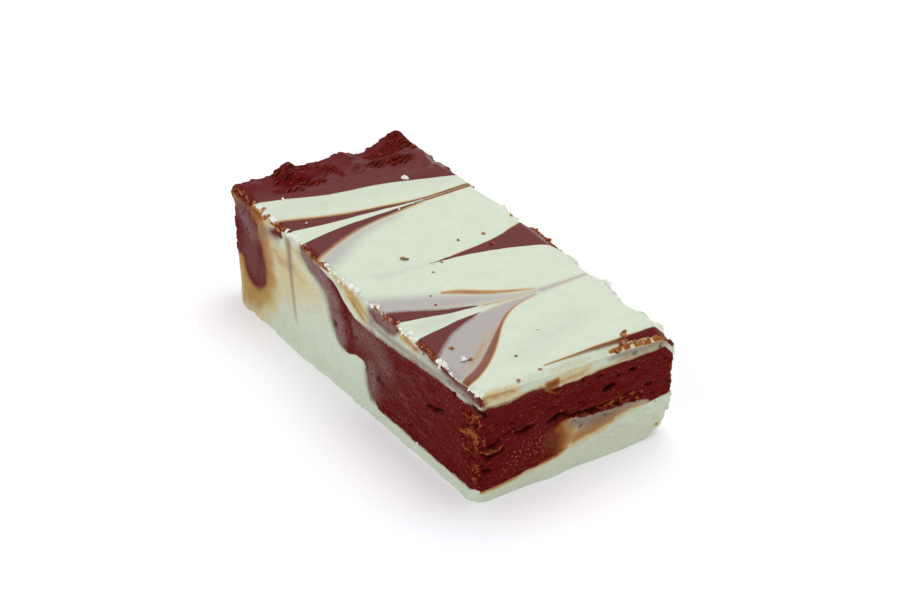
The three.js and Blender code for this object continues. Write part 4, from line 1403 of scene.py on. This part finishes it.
def fudge(name, roughness, coat_roughness, shine):
    material, shader = new_material(name)
    tree = material.node_tree
    root = Value(tree, shader.outputs[0])
    place = root.node("ShaderNodeTexCoord", {}, {}, 3)

    def paint(which):
        return root.node("ShaderNodeAttribute", {"attribute_name": which}, {}, 2)

    def speckle(size, detail=3.0):
        inputs = {"Vector": place, "Scale": 1.0 / (size * MM), "Detail": detail}
        return root.node("ShaderNodeTexNoise", {}, inputs)

    grain, mottle = speckle(0.5), speckle(3.0)
    edge = paint("cocoa") / paint("softness")
    dark = (edge + (grain - 0.5) * 0.6).eased(-1.0, 1.0)
    stain = paint("stain") + (mottle - 0.5) * 0.25 * paint("stain")
    torn = paint("torn").eased(0.05, 0.95)
    hazed = paint("haze").larger(0.0)
    mauve = paint("mauve").larger(0.0)

    colour = root.plain(MINT).tinted(MINT_SHADE, mottle.eased(0.35, 0.75) * 0.7)
    colour = colour.tinted(CREAM, stain.eased(0.0, 0.35))
    colour = colour.tinted(CARAMEL, stain.eased(0.3, 0.62))
    colour = colour.tinted(ORANGE_BROWN, stain.eased(0.6, 0.85))
    colour = colour.tinted(DARK_BROWN, stain.eased(0.84, 1.0))
    colour = colour.tinted(MUSTARD, paint("mustard"))
    colour = colour.tinted(HAZE, hazed)
    colour = colour.tinted(MAUVE, mauve)
    colour = colour.tinted(CHALKY_MINT, torn * (1.0 - dark) * (1.0 - stain.eased(0.2, 0.5)))
    # painted highlight, with orange brown crumbs, on torn stained places
    colour = colour.tinted(TORN_CHOCOLATE_HIGHLIGHT, torn * stain.eased(0.55, 0.75) * grain.eased(0.4, 0.6))
    # painted sheen on the chocolate, broken up by the grain
    sheened = (paint("painted_sheen") * grain.eased(0.2, 0.55)).larger(0.0)
    chocolate = root.plain(CHOCOLATE).tinted(PAINTED_SHEEN, sheened)
    # painted highlight, with orange brown crumbs, on torn chocolate
    chocolate = chocolate.tinted(TORN_CHOCOLATE_HIGHLIGHT, torn * grain.eased(0.35, 0.6))
    colour = colour.tinted(chocolate, dark)
    crumb = speckle(0.8, 2.0)
    bare = dark * (1.0 - paint("poured").eased(0.0, 0.3))
    fleck_here = (speckle(0.45, 1.0) + paint("flecks") * 0.16).eased(0.68, 0.74)
    colour = colour.tinted(FLECK, bare * fleck_here * 0.75)
    # painted shade: holes and cracks on chocolate, and fine specks of tiny holes on bare chocolate, go nearly
    # black
    colour = colour.tinted(HOLE_SHADE, (paint("pit_shade") * dark).larger(bare * crumb.eased(0.36, 0.3)) * 0.85)
    tree.links.new(colour.socket, shader.inputs["Base Color"])

    roughness_here = roughness + (grain - 0.5) * 0.2 + torn * 0.2
    tree.links.new(roughness_here.socket, shader.inputs["Roughness"])
    tree.links.new(paint("poured").socket, shader.inputs["Coat Weight"])
    shader.inputs["Coat Roughness"].default_value = coat_roughness
    shader.inputs["Coat IOR"].default_value = 1.33
    shader.inputs["Specular IOR Level"].default_value = shine

    fine = speckle(0.4, 4.0)
    height = (fine + crumb.eased(0.3, 0.45) * 0.5) * (1.0 - paint("poured") * 0.9) + mottle * 0.1
    inputs = {"Height": height, "Strength": 0.5, "Distance": 0.0005}
    bump = root.node("ShaderNodeBump", {}, inputs)
    tree.links.new(bump.socket, shader.inputs["Normal"])
    return material


def crumb_finish(name, colour, other):
    """A dry, matt crumb, mottled between two colours."""
    material, shader = new_material(name)
    root = Value(material.node_tree, shader.outputs[0])
    place = root.node("ShaderNodeTexCoord", {}, {}, 3)
    mottle = root.node("ShaderNodeTexNoise", {}, {"Vector": place, "Scale": 1 / (0.9 * MM), "Detail": 2.0})
    mixed = root.plain(colour).tinted(other, mottle.eased(0.4, 0.65))
    material.node_tree.links.new(mixed.socket, shader.inputs["Base Color"])
    shader.inputs["Roughness"].default_value = 0.8
    shader.inputs["Specular IOR Level"].default_value = 0.1
    return material


finishes = (
    (base_layer, fudge("mint_base_fudge", 0.6, 0.35, 0.2), "mint_base", "mint_base"),
    (middle_layer, fudge("chocolate_fudge", 0.6, 0.4, 0.05), "chocolate_layer", "chocolate"),
    (top_layer, fudge("mint_top_fudge", 0.6, 0.4, 0.1), "mint_top", "mint_top"),
)
for piece, material, node, slot in finishes:
    piece.data.materials.append(material)
    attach(piece, "root")
    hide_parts(node)
    print(piece.name, "is finished")

crumb_finishes = (
    (mint_crumbs, crumb_finish("chalky_crumb", CRUMB_WHITE, CHALKY_MINT), "mint_top"),
    (cocoa_crumbs, crumb_finish("cocoa_crumb", CRUMB_ORANGE, CRUMB_BROWN), "chocolate"),
)
for piece, material, slot in crumb_finishes:
    piece.data.materials.append(material)
    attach(piece, "root")
    print(piece.name, "is finished")
